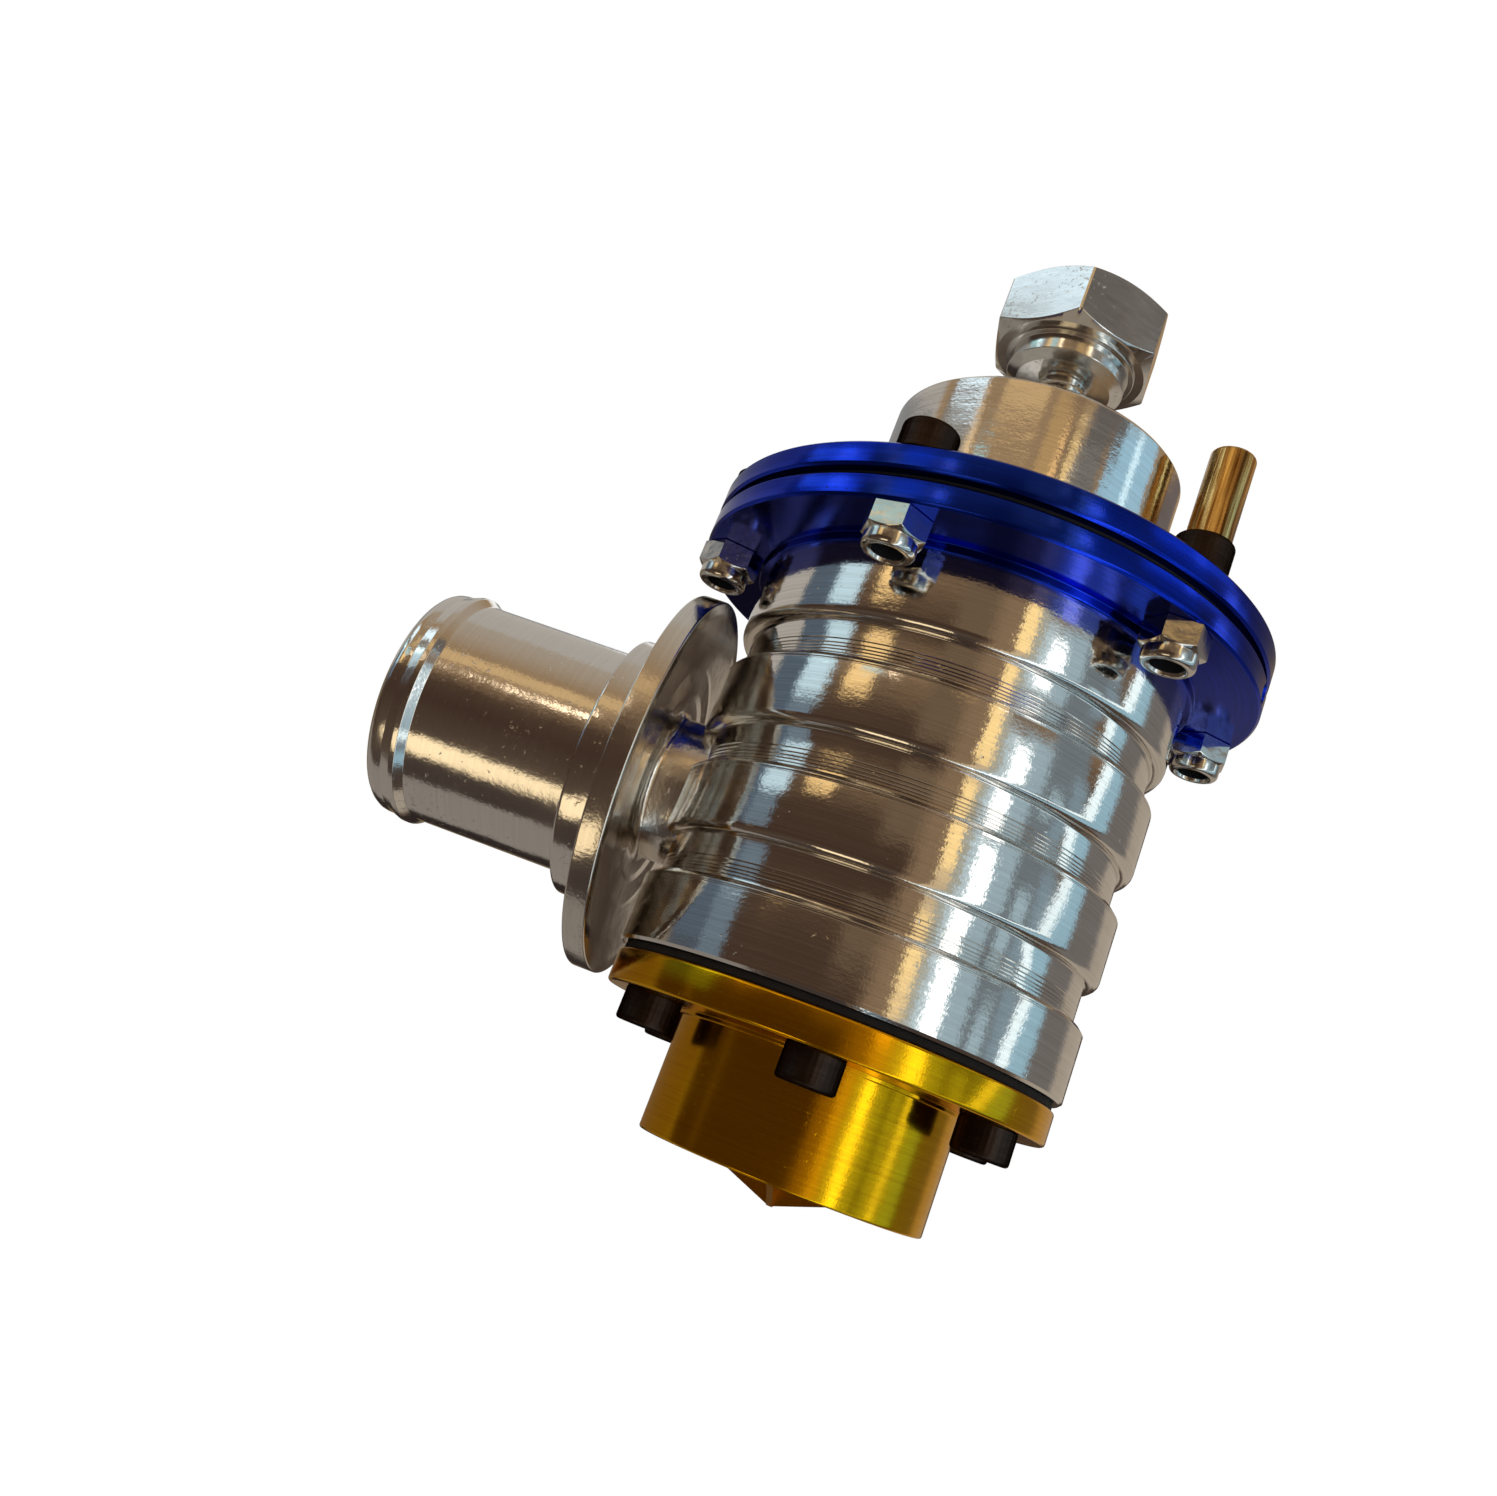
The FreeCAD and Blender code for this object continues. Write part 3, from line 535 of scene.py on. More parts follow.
def bodyOutline(b):
    radius, floor = b["radius"], b["floor"]
    outer = [(b["chamber"], b["bottom"]), (radius - b["foot"], b["bottom"]),
             (radius, b["bottom"] + b["foot"])]
    level = b["bottom"]
    for land, groove in zip(b["lands"], b["grooves"]):
        level += land
        # the land's top corner carries a fine ring, then drops to the floor
        ring = [level - drop for drop in b["ring"]]
        outer += [(radius, ring[0], 0.05), (radius - b["ringDepth"], ring[1]),
                  (radius - b["ringDepth"], ring[2]), (radius, ring[3], 0.05),
                  (radius, level - b["bevel"], 0.1), (radius - b["bevel"], level, 0.15),
                  (floor, level, 0.25)]
        depth = b["markDepth"]
        for mark in b["marks"]:
            outer += [(floor, level + mark), (floor - depth, level + mark + depth),
                      (floor, level + mark + 2 * depth)]
        level += groove
        outer += [(floor, level, 0.2), (radius, level, b["lip"])]
    top = level + b["lands"][-1]
    outer += [(radius, top), (b["spigot"], top), (b["spigot"], b["spigotTop"])]
    inner = [(b["upper"], b["spigotTop"], 0.5), (b["upper"], b["webTop"], 2.0),
             (b["stemBore"], b["webTop"]), (b["stemBore"], b["chamberTop"]),
             (b["chamber"], b["chamberTop"], 3.0)]
    return outlinePoints(outer + inner)


def tornCutter(b):
    # r(a, x) = hole + ragged(a) * how far out: smooth inside the wall, torn at the surface
    rng = np.random.default_rng(b["tearSeed"])
    angle = circleAngles(b["tearColumns"])
    ragged = np.zeros_like(angle)
    for wave in range(3, b["tearWaves"]):
        strength = wave ** -b["tearFade"]
        ragged += np.cos(wave * angle + rng.uniform(0, anyPhase)) * rng.uniform(0.3, 1) * strength
    ragged = 0.5 + 0.5 * ragged / np.abs(ragged).max()
    rows = [(b["hole"] + torn * (b["clear"] + b["tear"] * ragged), out) for out, torn in b["tearing"]]
    rows = [(0, rows[0][1]), *rows, (0, rows[-1][1])]
    points, faces = stackRows(rows, angle, b["hole"], closed=False)[:2]
    points = toOutlet(points, b["outletHeight"])
    return makeMesh("tearCutter", points, faces, points, finishes["polishedAluminium"])


bodyShell = makeMesh("bodyShell", *lathe(bodyOutline(body), body["columns"]),
                     finishes["polishedAluminium"])
cutWith(bodyShell, tornCutter(body))
place(bodyShell, "housing", "polished_aluminium", "body")
print("body done")


# Outlet: neck with dished flange, and the hose tail

outlet = {
    "height": body["outletHeight"], "columns": 224, "neck": 9.7, "bore": 7.8, "innerEnd": 19.2,
    "face": 31.2, "flange": 25.85, "flangeThickness": 3.1, "rimEdge": 0.28,
    # the dished face: radius, distance behind the rim, rounding
    "dish": ((12.6, 0.95, 0.4), (13.4, 0.7, 0.5), (16.6, 0.8, 0.4), (17.1, 0.68, 0.3),
             (23.4, 0.1, 0.3), (24.2, 0, 0.4)),
    "neckRoot": 1.3, "socket": 12.23, "socketDepth": 1.6, "throat": 9.4, "throatLength": 1.0,
    "plug": 12.2, "plugDepth": 1.57, "step": 17.8, "stepLength": 5.6,
    "tail": 15.35, "tailBore": 13.4, "end": 67.5,
    # the bead: its start, how far on it is full, how long it stays so, and where it meets the lip
    "beadStart": 61.75, "bead": 16.15, "beadRamp": 1.0, "beadLength": 0.7, "beadEnd": 3.1,
    "lip": 15.6, "lipStart": 15.65, "taper": 1.0,
}


def hornOutline(o):
    face, bore = o["face"], o["bore"]
    back = face + o["flangeThickness"]
    deep = back - o["socketDepth"]
    return outlinePoints([
        (bore, o["innerEnd"]), (o["neck"], o["innerEnd"]),
        (o["neck"], face + o["dish"][0][1], o["neckRoot"]),
        *((radius, face + behind, rounding) for radius, behind, rounding in o["dish"]),
        (o["flange"], face, o["rimEdge"]), (o["flange"], back, o["rimEdge"]), (o["socket"], back),
        (o["socket"], deep), (o["throat"], deep), (bore, deep - o["throatLength"])])


def tailOutline(o):
    start = o["face"] + o["flangeThickness"]
    stepEnd = start + o["stepLength"]
    beadTop = o["beadStart"] + o["beadRamp"]
    return outlinePoints([
        (o["throat"], start - o["plugDepth"]), (o["plug"], start - o["plugDepth"]),
        (o["plug"], start),
        (o["step"], start, 0.25), (o["step"], stepEnd, 0.45), (o["tail"], stepEnd, 0.35),
        (o["tail"], o["beadStart"], 0.2), (o["bead"], beadTop, 0.25),
        (o["bead"], beadTop + o["beadLength"], 0.5),
        (o["lipStart"], o["beadStart"] + o["beadEnd"], 0.6), (o["lip"], o["end"], 1.75),
        (o["tailBore"], o["end"], 0.3), (o["tailBore"], stepEnd + 2 * o["taper"]),
        (o["throat"], start + o["taper"])])


def outletGrid(outline):
    points, faces, field = lathe(outline, outlet["columns"])
    return toOutlet(points, outlet["height"]), faces, field


addPiece("outletHorn", outletGrid(hornOutline(outlet)), "burnishedHorn", "polished_aluminium",
         "outlet_horn")
addPiece("hoseTail", outletGrid(tailOutline(outlet)), "polishedOutlet", "polished_aluminium",
         "hose_adapter")
print("outlet done")


# Clamp rings and cap

rings = {
    "radius": 38.0, "columns": 288, "edge": 0.32,
    "lowerBottom": 73.4, "lowerTop": 76.5, "upperBottom": 77.5, "upperTop": 80.7,
    "boss": 29.9, "bossBottom": 72.2, "bore": 26.03, "capBore": 20.28,
    "pocket": 23.23, "pocketTop": 79.4,
    # the vent, a drill that flares at the rim
    "ventAngle": -19.0, "vent": 1.0, "ventMouth": 1.5, "ventStart": 24, "ventFlare": 0.5,
    "ventColumns": 48,
}


def rimCorners(r, bottom, top):
    inside = r["radius"] - r["edge"]
    return [(inside, bottom, 0.1), (r["radius"], bottom + r["edge"], 0.1),
            (r["radius"], top - r["edge"], 0.1), (inside, top, 0.1)]


def lowerRingOutline(r):
    return outlinePoints([
        (r["bore"], r["bossBottom"]), (r["boss"], r["bossBottom"], 0.25),
        (r["boss"], r["lowerBottom"], 0.15), *rimCorners(r, r["lowerBottom"], r["lowerTop"]),
        (r["bore"], r["lowerTop"])])


def upperRingOutline(r):
    return outlinePoints([
        (r["pocket"], r["upperBottom"]), *rimCorners(r, r["upperBottom"], r["upperTop"]),
        (r["capBore"], r["upperTop"]), (r["capBore"], r["pocketTop"]), (r["pocket"], r["pocketTop"])])


def ventCutter(r):
    inside, outside = r["radius"] - r["ventFlare"], r["radius"] + r["ventFlare"]
    profile = np.array([[0, r["ventStart"]], [r["vent"], r["ventStart"]], [r["vent"], inside],
                        [r["ventMouth"] + r["ventFlare"], outside], [0, outside]])
    points, faces, field = lathe(profile, r["ventColumns"], closed=False)
    level = (r["lowerBottom"] + r["lowerTop"]) / 2
    turn = math.radians(r["ventAngle"])
    c, s = math.cos(turn), math.sin(turn)
    points = np.stack([points[:, 2] * c - points[:, 1] * s, points[:, 2] * s + points[:, 1] * c,
                       points[:, 0] + level], 1)
    return makeMesh("ventCutter", points, faces, field, finishes["turnedAluminium"])


lowerRing = makeMesh("lowerRing", *lathe(lowerRingOutline(rings), rings["columns"]),
                     finishes["blueAnodised"])
cutWith(lowerRing, ventCutter(rings))
place(lowerRing, "housing", "blue_anodised", "lower_ring")
addPiece("upperRing", lathe(upperRingOutline(rings), rings["columns"]), "blueAnodised",
         "blue_anodised", "upper_ring")

cap = {"radius": 20.25, "bottom": rings["upperBottom"], "top": 103.0, "flange": 23.2,
       "flangeTop": 79.37, "bore": 17.8, "roof": 99.0, "stemBore": 4.06, "bevel": 0.65,
       "boreBevel": 0.5, "columns": 224}


def capOutline(c):
    return outlinePoints([
        (c["bore"], c["bottom"]), (c["flange"], c["bottom"]), (c["flange"], c["flangeTop"]),
        (c["radius"], c["flangeTop"]), (c["radius"], c["top"] - c["bevel"], 0.3),
        (c["radius"] - c["bevel"], c["top"], 0.3), (c["stemBore"] + c["boreBevel"], c["top"], 0.05),
        (c["stemBore"], c["top"] - c["boreBevel"], 0.05), (c["stemBore"], c["roof"]),
        (c["bore"], c["roof"], 2.0)])


addPiece("springCap", lathe(capOutline(cap), cap["columns"]), "polishedAluminium",
         "polished_aluminium", "cap")
print("rings and cap done")


# Inlet: gold tube and flange, and the gasket above it

inlet = {"tube": 18.25, "bore": 16.0, "flange": 28.5, "flangeBottom": 14.9, "flangeTop": 19.1,
         "collar": 0.5, "boreBevel": 0.6, "columns": 224, "gasket": 27.95, "gasketBore": 20.85,
         "gasketTop": body["bottom"], "gasketWobble": 0.2, "gasketSeed": 5,
         "gasketWaves": 70, "gasketFade": 0.4}


def inletOutline(n):
    collar, collarBottom = n["tube"] + n["collar"], n["flangeBottom"] - n["collar"]
    return outlinePoints([
        (n["bore"], 0, 0.35), (n["tube"], 0, 0.3), (n["tube"], collarBottom, 0.1),
        (collar, collarBottom, 0.1), (collar, n["flangeBottom"], 0.1),
        (n["flange"], n["flangeBottom"], 0.45), (n["flange"], n["flangeTop"], 0.4),
        (n["bore"] + n["boreBevel"], n["flangeTop"]), (n["bore"], n["flangeTop"] - n["boreBevel"])])


def gasketGrid(n):
    # the cut edge of the gasket wanders: r(a) = gasket + wobble * noise(a)
    rng = np.random.default_rng(n["gasketSeed"])
    outline = outlinePoints([
        (n["gasketBore"], n["flangeTop"]), (n["gasket"], n["flangeTop"], 0.2),
        (n["gasket"], n["gasketTop"], 0.2), (n["gasketBore"], n["gasketTop"])])
    angle = circleAngles(n["columns"])
    wander = sum(np.cos(k * angle + rng.uniform(0, anyPhase)) / k ** n["gasketFade"]
                 for k in range(3, n["gasketWaves"]))
    wander *= n["gasketWobble"] / np.abs(wander).max()
    middle = (n["gasketBore"] + n["gasket"]) / 2
    return stackRows([(r + wander * (r > middle), z) for r, z in outline], angle, n["gasket"], True)


addPiece("goldInlet", lathe(inletOutline(inlet), inlet["columns"]), "goldAnodised", "gold_anodised",
         "inlet_flange")
addPiece("gasket", gasketGrid(inlet), "fibreGasket", "gasket", "inlet_gasket")
print("inlet done")


# Socket head screws

screw = {"head": 3.5, "height": 4.0, "edge": 0.45, "socket": 3.0, "mouth": 0.42,
         "shank": 1.97, "tip": 0.4, "knurlDepth": 0.05, "knurls": 30, "columns": 120,
         # the foot's bevel, where the knurls start above it and end below the top, the neck there
         "foot": (0.1, 0.15), "knurlStart": 0.5, "knurlEnd": 1.0, "neck": 0.7,
         # the socket: how far below the head's top, share of the hexagon's size
         "socketRows": ((0.3, 1), (2.0, 1), (2.3, 0.35), (2.45, 0)),
         "ringLength": 10.0, "ringCircle": 34.2, "ringPhase": 10.9, "ringTurns": (8, 31, 52, 17, 3, 40),
         "inletLength": 12.0, "inletCircle": 23.75, "inletPhase": 30.0,
         "inletTurns": (21, 5, 44, 12, 33, 50)}


def screwGrid(s, length):
    # one grid from the shank's tip round the head to the socket's floor;
    # the head's side carries r(a) = head - depth * |sin(n a / 2)|
    angle = circleAngles(s["columns"])
    head, top = s["head"], s["height"]
    low, high = s["knurlStart"], top - s["knurlEnd"]
    outline = outlinePoints([
        (0, -length), (s["shank"] - s["tip"], -length), (s["shank"], -length + s["tip"]),
        (s["shank"], 0), (head - s["foot"][0], 0), (head, s["foot"][1]), (head, low), (head, high),
        (head, top - s["neck"]), (head, top, s["edge"]), (s["socket"] / 2 + s["mouth"], top)],
        closed=False)
    knurl = s["knurlDepth"] * np.abs(np.sin(s["knurls"] * angle / 2))
    rows = [(r - knurl if low <= z <= high and r == head else r, z) for r, z in outline]
    hexagon = hexRadius(angle, s["socket"], 0.0)
    rows += [(share * hexagon, top - down) for down, share in s["socketRows"]]
    return stackRows(rows, angle, head, False)


addPiece("ringScrews", copyRound(screwGrid(screw, screw["ringLength"]), screw["ringCircle"],
                                 screw["ringPhase"], rings["upperTop"], screw["ringTurns"]),
         "blackOxide", "black_screws", "ring_screws")
addPiece("inletScrews", copyRound(screwGrid(screw, screw["inletLength"]), screw["inletCircle"],
                                  screw["inletPhase"], inlet["flangeBottom"], screw["inletTurns"],
                                  flip=True),
         "blackOxide", "black_screws", "inlet_screws")
print("screws done")


# Lock nuts

nut = {"flats": 7.0, "hexHeight": 3.2, "height": 5.0, "collar": 3.25, "hole": 2.02, "columns": 120,
       "face": 0.94, "cornerAngle": 30.0, "turns": (12, 40, 25, 8, 33, 50),
       # the broken edges of the hexagon, the collar's root, and the crimp round the insert
       "seat": 0.02, "bevel": 0.1, "cone": (0.05, 0.08), "root": (0.04, 0.06, 0.1),
       "crimp": 0.75, "mouth": (0.28, 0.1), "mouthDepth": (0.5, 0.6)}


def nutGrid(n):
    # hexagon with its lower corners turned off by a cone, then the crimped collar, as one
    # closed loop of rows: r(s, a) is the hexagon on its flats and a circle elsewhere
    angle = circleAngles(n["columns"])
    hexagon = hexRadius(angle, n["flats"], 0.0)
    face = n["flats"] / 2 * n["face"]
    low, end, hole = -n["hexHeight"], -n["height"], n["hole"]
    cone = low + (hexagon - face) * math.tan(math.radians(n["cornerAngle"]))
    inside, above = n["cone"]
    aside, below, start = n["root"]
    outer, inner = n["mouth"]
    depth, full = n["mouthDepth"]
    rows = [(hole, 0), (face, 0), (hexagon - n["bevel"], -n["seat"]),
            (hexagon, -n["seat"] - n["bevel"]), (hexagon, cone + above), (hexagon - inside, cone),
            (face, low), (n["collar"] + aside, low - below)]
    crown = outlinePoints([
        (n["collar"], low - start), (n["collar"], end, n["crimp"]), (hole + outer, end, 0.2),
        (hole + inner, end + depth, 0.1), (hole, end + full)], closed=False)
    return stackRows([*rows, *crown], angle, n["flats"] / 2, True)


addPiece("lockNuts", copyRound(nutGrid(nut), screw["ringCircle"], screw["ringPhase"],
                               rings["lowerBottom"], nut["turns"]),
         "brightZinc", "bright_nuts", "ring_nuts")
print("nuts done")


# Vacuum nipple

nipple = {"radius": 3.0, "bore": 2.0, "bottom": rings["upperTop"], "top": 107.2,
          "spigot": 2.4, "spigotBottom": 78.5, "circle": 26.02, "angle": -19.1, "columns": 96}


def nippleGrid(n):
    points, faces, field = lathe(outlinePoints([
        (n["bore"], n["spigotBottom"]), (n["spigot"], n["spigotBottom"]), (n["spigot"], n["bottom"]),
        (n["radius"], n["bottom"]), (n["radius"], n["top"], 0.55), (n["bore"], n["top"], 0.3)]),
        n["columns"])
    aside = math.radians(n["angle"])
    return points + n["circle"] * np.array([math.cos(aside), math.sin(aside), 0]), faces, field


addPiece("vacuumNipple", nippleGrid(nipple), "drawnBrass", "brass", "vacuum_nipple")


# Adjuster: hexagon, washer face, collar and threaded stem

adjuster = {"flats": 22.0, "face": 0.965, "bottom": 118.7, "top": 127.7, "phase": -34.0,
            "columns": 192, "cornerAngle": 30.0, "cornerBevel": 0.75,
            "washer": 9.3, "washerStep": 0.35, "collar": 8.4, "collarBottom": 115.2,
            "collarEdge": 0.8, "collarRoot": 0.5, "edge": 0.06, "faceEdge": 0.3,
            "tip": 2.6, "tipBottom": 93.5, "tipTop": 94.7, "tipBevel": 0.3,
            # the thread, which fades in and out over its run-outs
            "thread": 4.0, "core": 3.35, "pitch": 1.25, "coreBottom": 95.5, "threadBottom": 95.9,
            "relief": 0.6, "rowsPerTurn": 14, "runIn": 0.8, "runOut": 0.5}


def cornerAngles(columns, phase, bevel):
    # even directions round the circle, with a pair close about each corner of the hexagon
    angle = np.linspace(0, 2 * np.pi, columns, endpoint=False)
    corner = phase + np.arange(6) * np.pi / 3
    away = np.abs((angle[:, None] - corner + np.pi) % (2 * np.pi) - np.pi).min(1)
    pairs = np.concatenate([corner - bevel, corner + bevel]) % (2 * np.pi)
    return np.sort(np.concatenate([angle[away > 1.5 * bevel], pairs]))[None]


def threadRows(a, angle):
    # r = core + depth * tooth(z / pitch - a / 2 pi), with a pointed tooth
    end = a["collarBottom"] - a["relief"]
    turns = (end - a["threadBottom"]) / a["pitch"]
    level = np.linspace(a["threadBottom"], end, int(turns * a["rowsPerTurn"]))
    phase = (level[:, None] / a["pitch"] - angle / (2 * np.pi)) % 1
    tooth = np.clip(1.25 - 2.5 * np.abs(phase - 0.5), 0, 1)
    fade = (np.clip((level - level[0]) / a["runIn"], 0, 1)
            * np.clip((level[-1] - level) / a["runOut"], 0, 1))
    radius = a["core"] + (a["thread"] - a["core"]) * tooth * fade[:, None]
    return list(zip(radius[:, None], level))


def adjusterGrid(a):
    phase = math.radians(a["phase"])
    angle = cornerAngles(a["columns"], phase, math.radians(a["cornerBevel"]))
    hexagon = hexRadius(angle, a["flats"], phase)
    face = a["flats"] / 2 * a["face"]
    drop = (hexagon - face) * math.tan(math.radians(a["cornerAngle"]))
    bottom, top, step = a["bottom"], a["top"], a["bottom"] - a["washerStep"]
    tip = [(0, a["tipBottom"]), (a["tip"] - a["tipBevel"], a["tipBottom"]),
           (a["tip"], a["tipBottom"] + a["tipBevel"]), (a["tip"], a["tipTop"]),
           (a["core"], a["coreBottom"])]
    collar = outlinePoints([
        (a["core"], a["collarBottom"] - a["collarRoot"]), (a["core"], a["collarBottom"], 0.1),
        (a["collar"] - 2 * a["collarEdge"], a["collarBottom"], 0.15),
        (a["collar"], a["collarBottom"] + a["collarEdge"], 0.15),
        (a["collar"], step - 0.01, 0.1), (a["washer"], step, 0.1), (a["washer"], bottom)], closed=False)
    edge, low, high = a["edge"], bottom + drop, top - drop
    head = [(face, bottom), (hexagon - edge, low - edge / 2), (hexagon, low + edge),
            (hexagon, high - edge), (hexagon - edge, high + edge / 2), (face, top),
            (face - a["faceEdge"], top), (0, top)]
    return stackRows([*tip, *threadRows(a, angle), *collar, *head], angle, a["flats"] / 2, False)


addPiece("adjusterScrew", adjusterGrid(adjuster), "turnedAluminium", "turned_aluminium", "adjuster",
         body="adjuster")
print("nipple and adjuster done")


# Diaphragm and main spring; in the real valve they give way when the valve and the adjuster move

rubber = {"inner": 13.43, "outer": 36.5, "bottom": rings["lowerTop"], "top": rings["upperBottom"],
          "foldInner": 17.3, "foldOuter": 21.7, "foldBottom": 73.9, "middle": 19.5,
          "thickness": 1.0, "columns": 192,
          # roundings of the fold's outside, its inside and the bends at its top
          "outside": 1.9, "inside": 1.1, "bend": 0.6}


def rollOutline(d):
    # the inner half: clamped flat, then down the inner wall to the bottom of the fold
    inner, wall = d["foldInner"], d["foldInner"] + d["thickness"]
    floor = d["foldBottom"] + d["thickness"]
    return outlinePoints([
        (d["inner"], d["bottom"]), (inner, d["bottom"]), (inner, d["foldBottom"], d["outside"]),
        (d["middle"], d["foldBottom"]), (d["middle"], floor), (wall, floor, d["inside"]),
        (wall, d["top"], d["bend"]), (d["inner"], d["top"])])


def rimOutline(d):
    # the outer half: up the outer wall and out between the rings to the edge that shows
    outer, wall = d["foldOuter"], d["foldOuter"] - d["thickness"]
    floor = d["foldBottom"] + d["thickness"]
    return outlinePoints([
        (d["middle"], d["foldBottom"]), (outer, d["foldBottom"], d["outside"]), (outer, d["bottom"]),
        (d["outer"], d["bottom"]), (d["outer"], d["top"]), (wall, d["top"], d["bend"]),
        (wall, floor, d["inside"]), (d["middle"], floor)])


addPiece("diaphragmRim", lathe(rimOutline(rubber), rubber["columns"]), "blackRubber", "rubber",
         "diaphragm")
roll = addPiece("diaphragmRoll", lathe(rollOutline(rubber), rubber["columns"]), "blackRubber",
                "rubber", "diaphragm", body=None)
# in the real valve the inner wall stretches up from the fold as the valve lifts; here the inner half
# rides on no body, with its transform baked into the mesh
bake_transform(roll)

coil = {"radius": 11.0, "wire": 0.9, "low": 63.23, "high": 91.47, "ground": 0.54, "endTurns": 1,
        "turns": 4, "around": 14, "perTurn": 40, "stroke": 8.0}


def coilGrid(c, first, last):
    # centre(t) = (R cos 2 pi t, R sin 2 pi t, level(t)), with a closed turn at each end ground flat
    total = c["turns"] + 2 * c["endTurns"]
    bottom = c["low"] + c["wire"] - c["ground"]
    top = c["high"] - c["wire"] + c["ground"]
    rise = 2 * c["wire"] * c["endTurns"]
    turn = np.linspace(first, last, (last - first) * c["perTurn"] + 1)
    turn = np.concatenate([turn[:1], turn, turn[-1:]])[:, None]
    wire = np.full_like(turn, c["wire"])
    wire[[0, -1]] = 0  # the ends close to a point
    level = np.interp(turn, (0, c["endTurns"], total - c["endTurns"], total),
                      (bottom, bottom + rise, top - rise, top))
    section = circleAngles(c["around"])
    height = np.clip(level + wire * np.sin(section), c["low"], c["high"])
    points = sweptPoints(c["radius"] + wire * np.cos(section), height, 2 * np.pi * turn)
    points = points.reshape(-1, 3)
    return points, gridFaces(len(turn), c["around"], False), points


half = coil["turns"] // 2 + coil["endTurns"]
lowerSpring = addPiece("lowerSpring", coilGrid(coil, 0, half), "springSteel", "spring_steel",
                       "main_spring")
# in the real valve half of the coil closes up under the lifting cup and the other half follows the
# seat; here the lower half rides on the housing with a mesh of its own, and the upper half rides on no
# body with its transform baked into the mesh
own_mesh(lowerSpring)
upperSpring = addPiece("upperSpring", coilGrid(coil, half, 2 * half), "springSteel",
                       "spring_steel", "main_spring", body=None)
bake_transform(upperSpring)
print("diaphragm and spring done")


# Finishes for the model's own solids that stay

cadFinishes = {
    "nut_inserts": "nylonInsert", "adjuster_seal": "blackRubber",
    "stem_seal": "blackRubber", "poppet_seal": "blackRubber", "poppet": "goldMilled",
    "cup": "turnedInside", "clamp_ring": "turnedInside", "spring_seat": "turnedInside",
    "stem": "groundSteel", "stem_washer": "groundSteel", "stem_nut": "zincInside",
    "stem_bush": "bearingBronze",
}
for node, finish in cadFinishes.items():
    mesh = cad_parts[node].data
    for i in range(len(mesh.materials)):
        mesh.materials[i] = finishes[finish]
print("solids finished")


# Floor, light and background

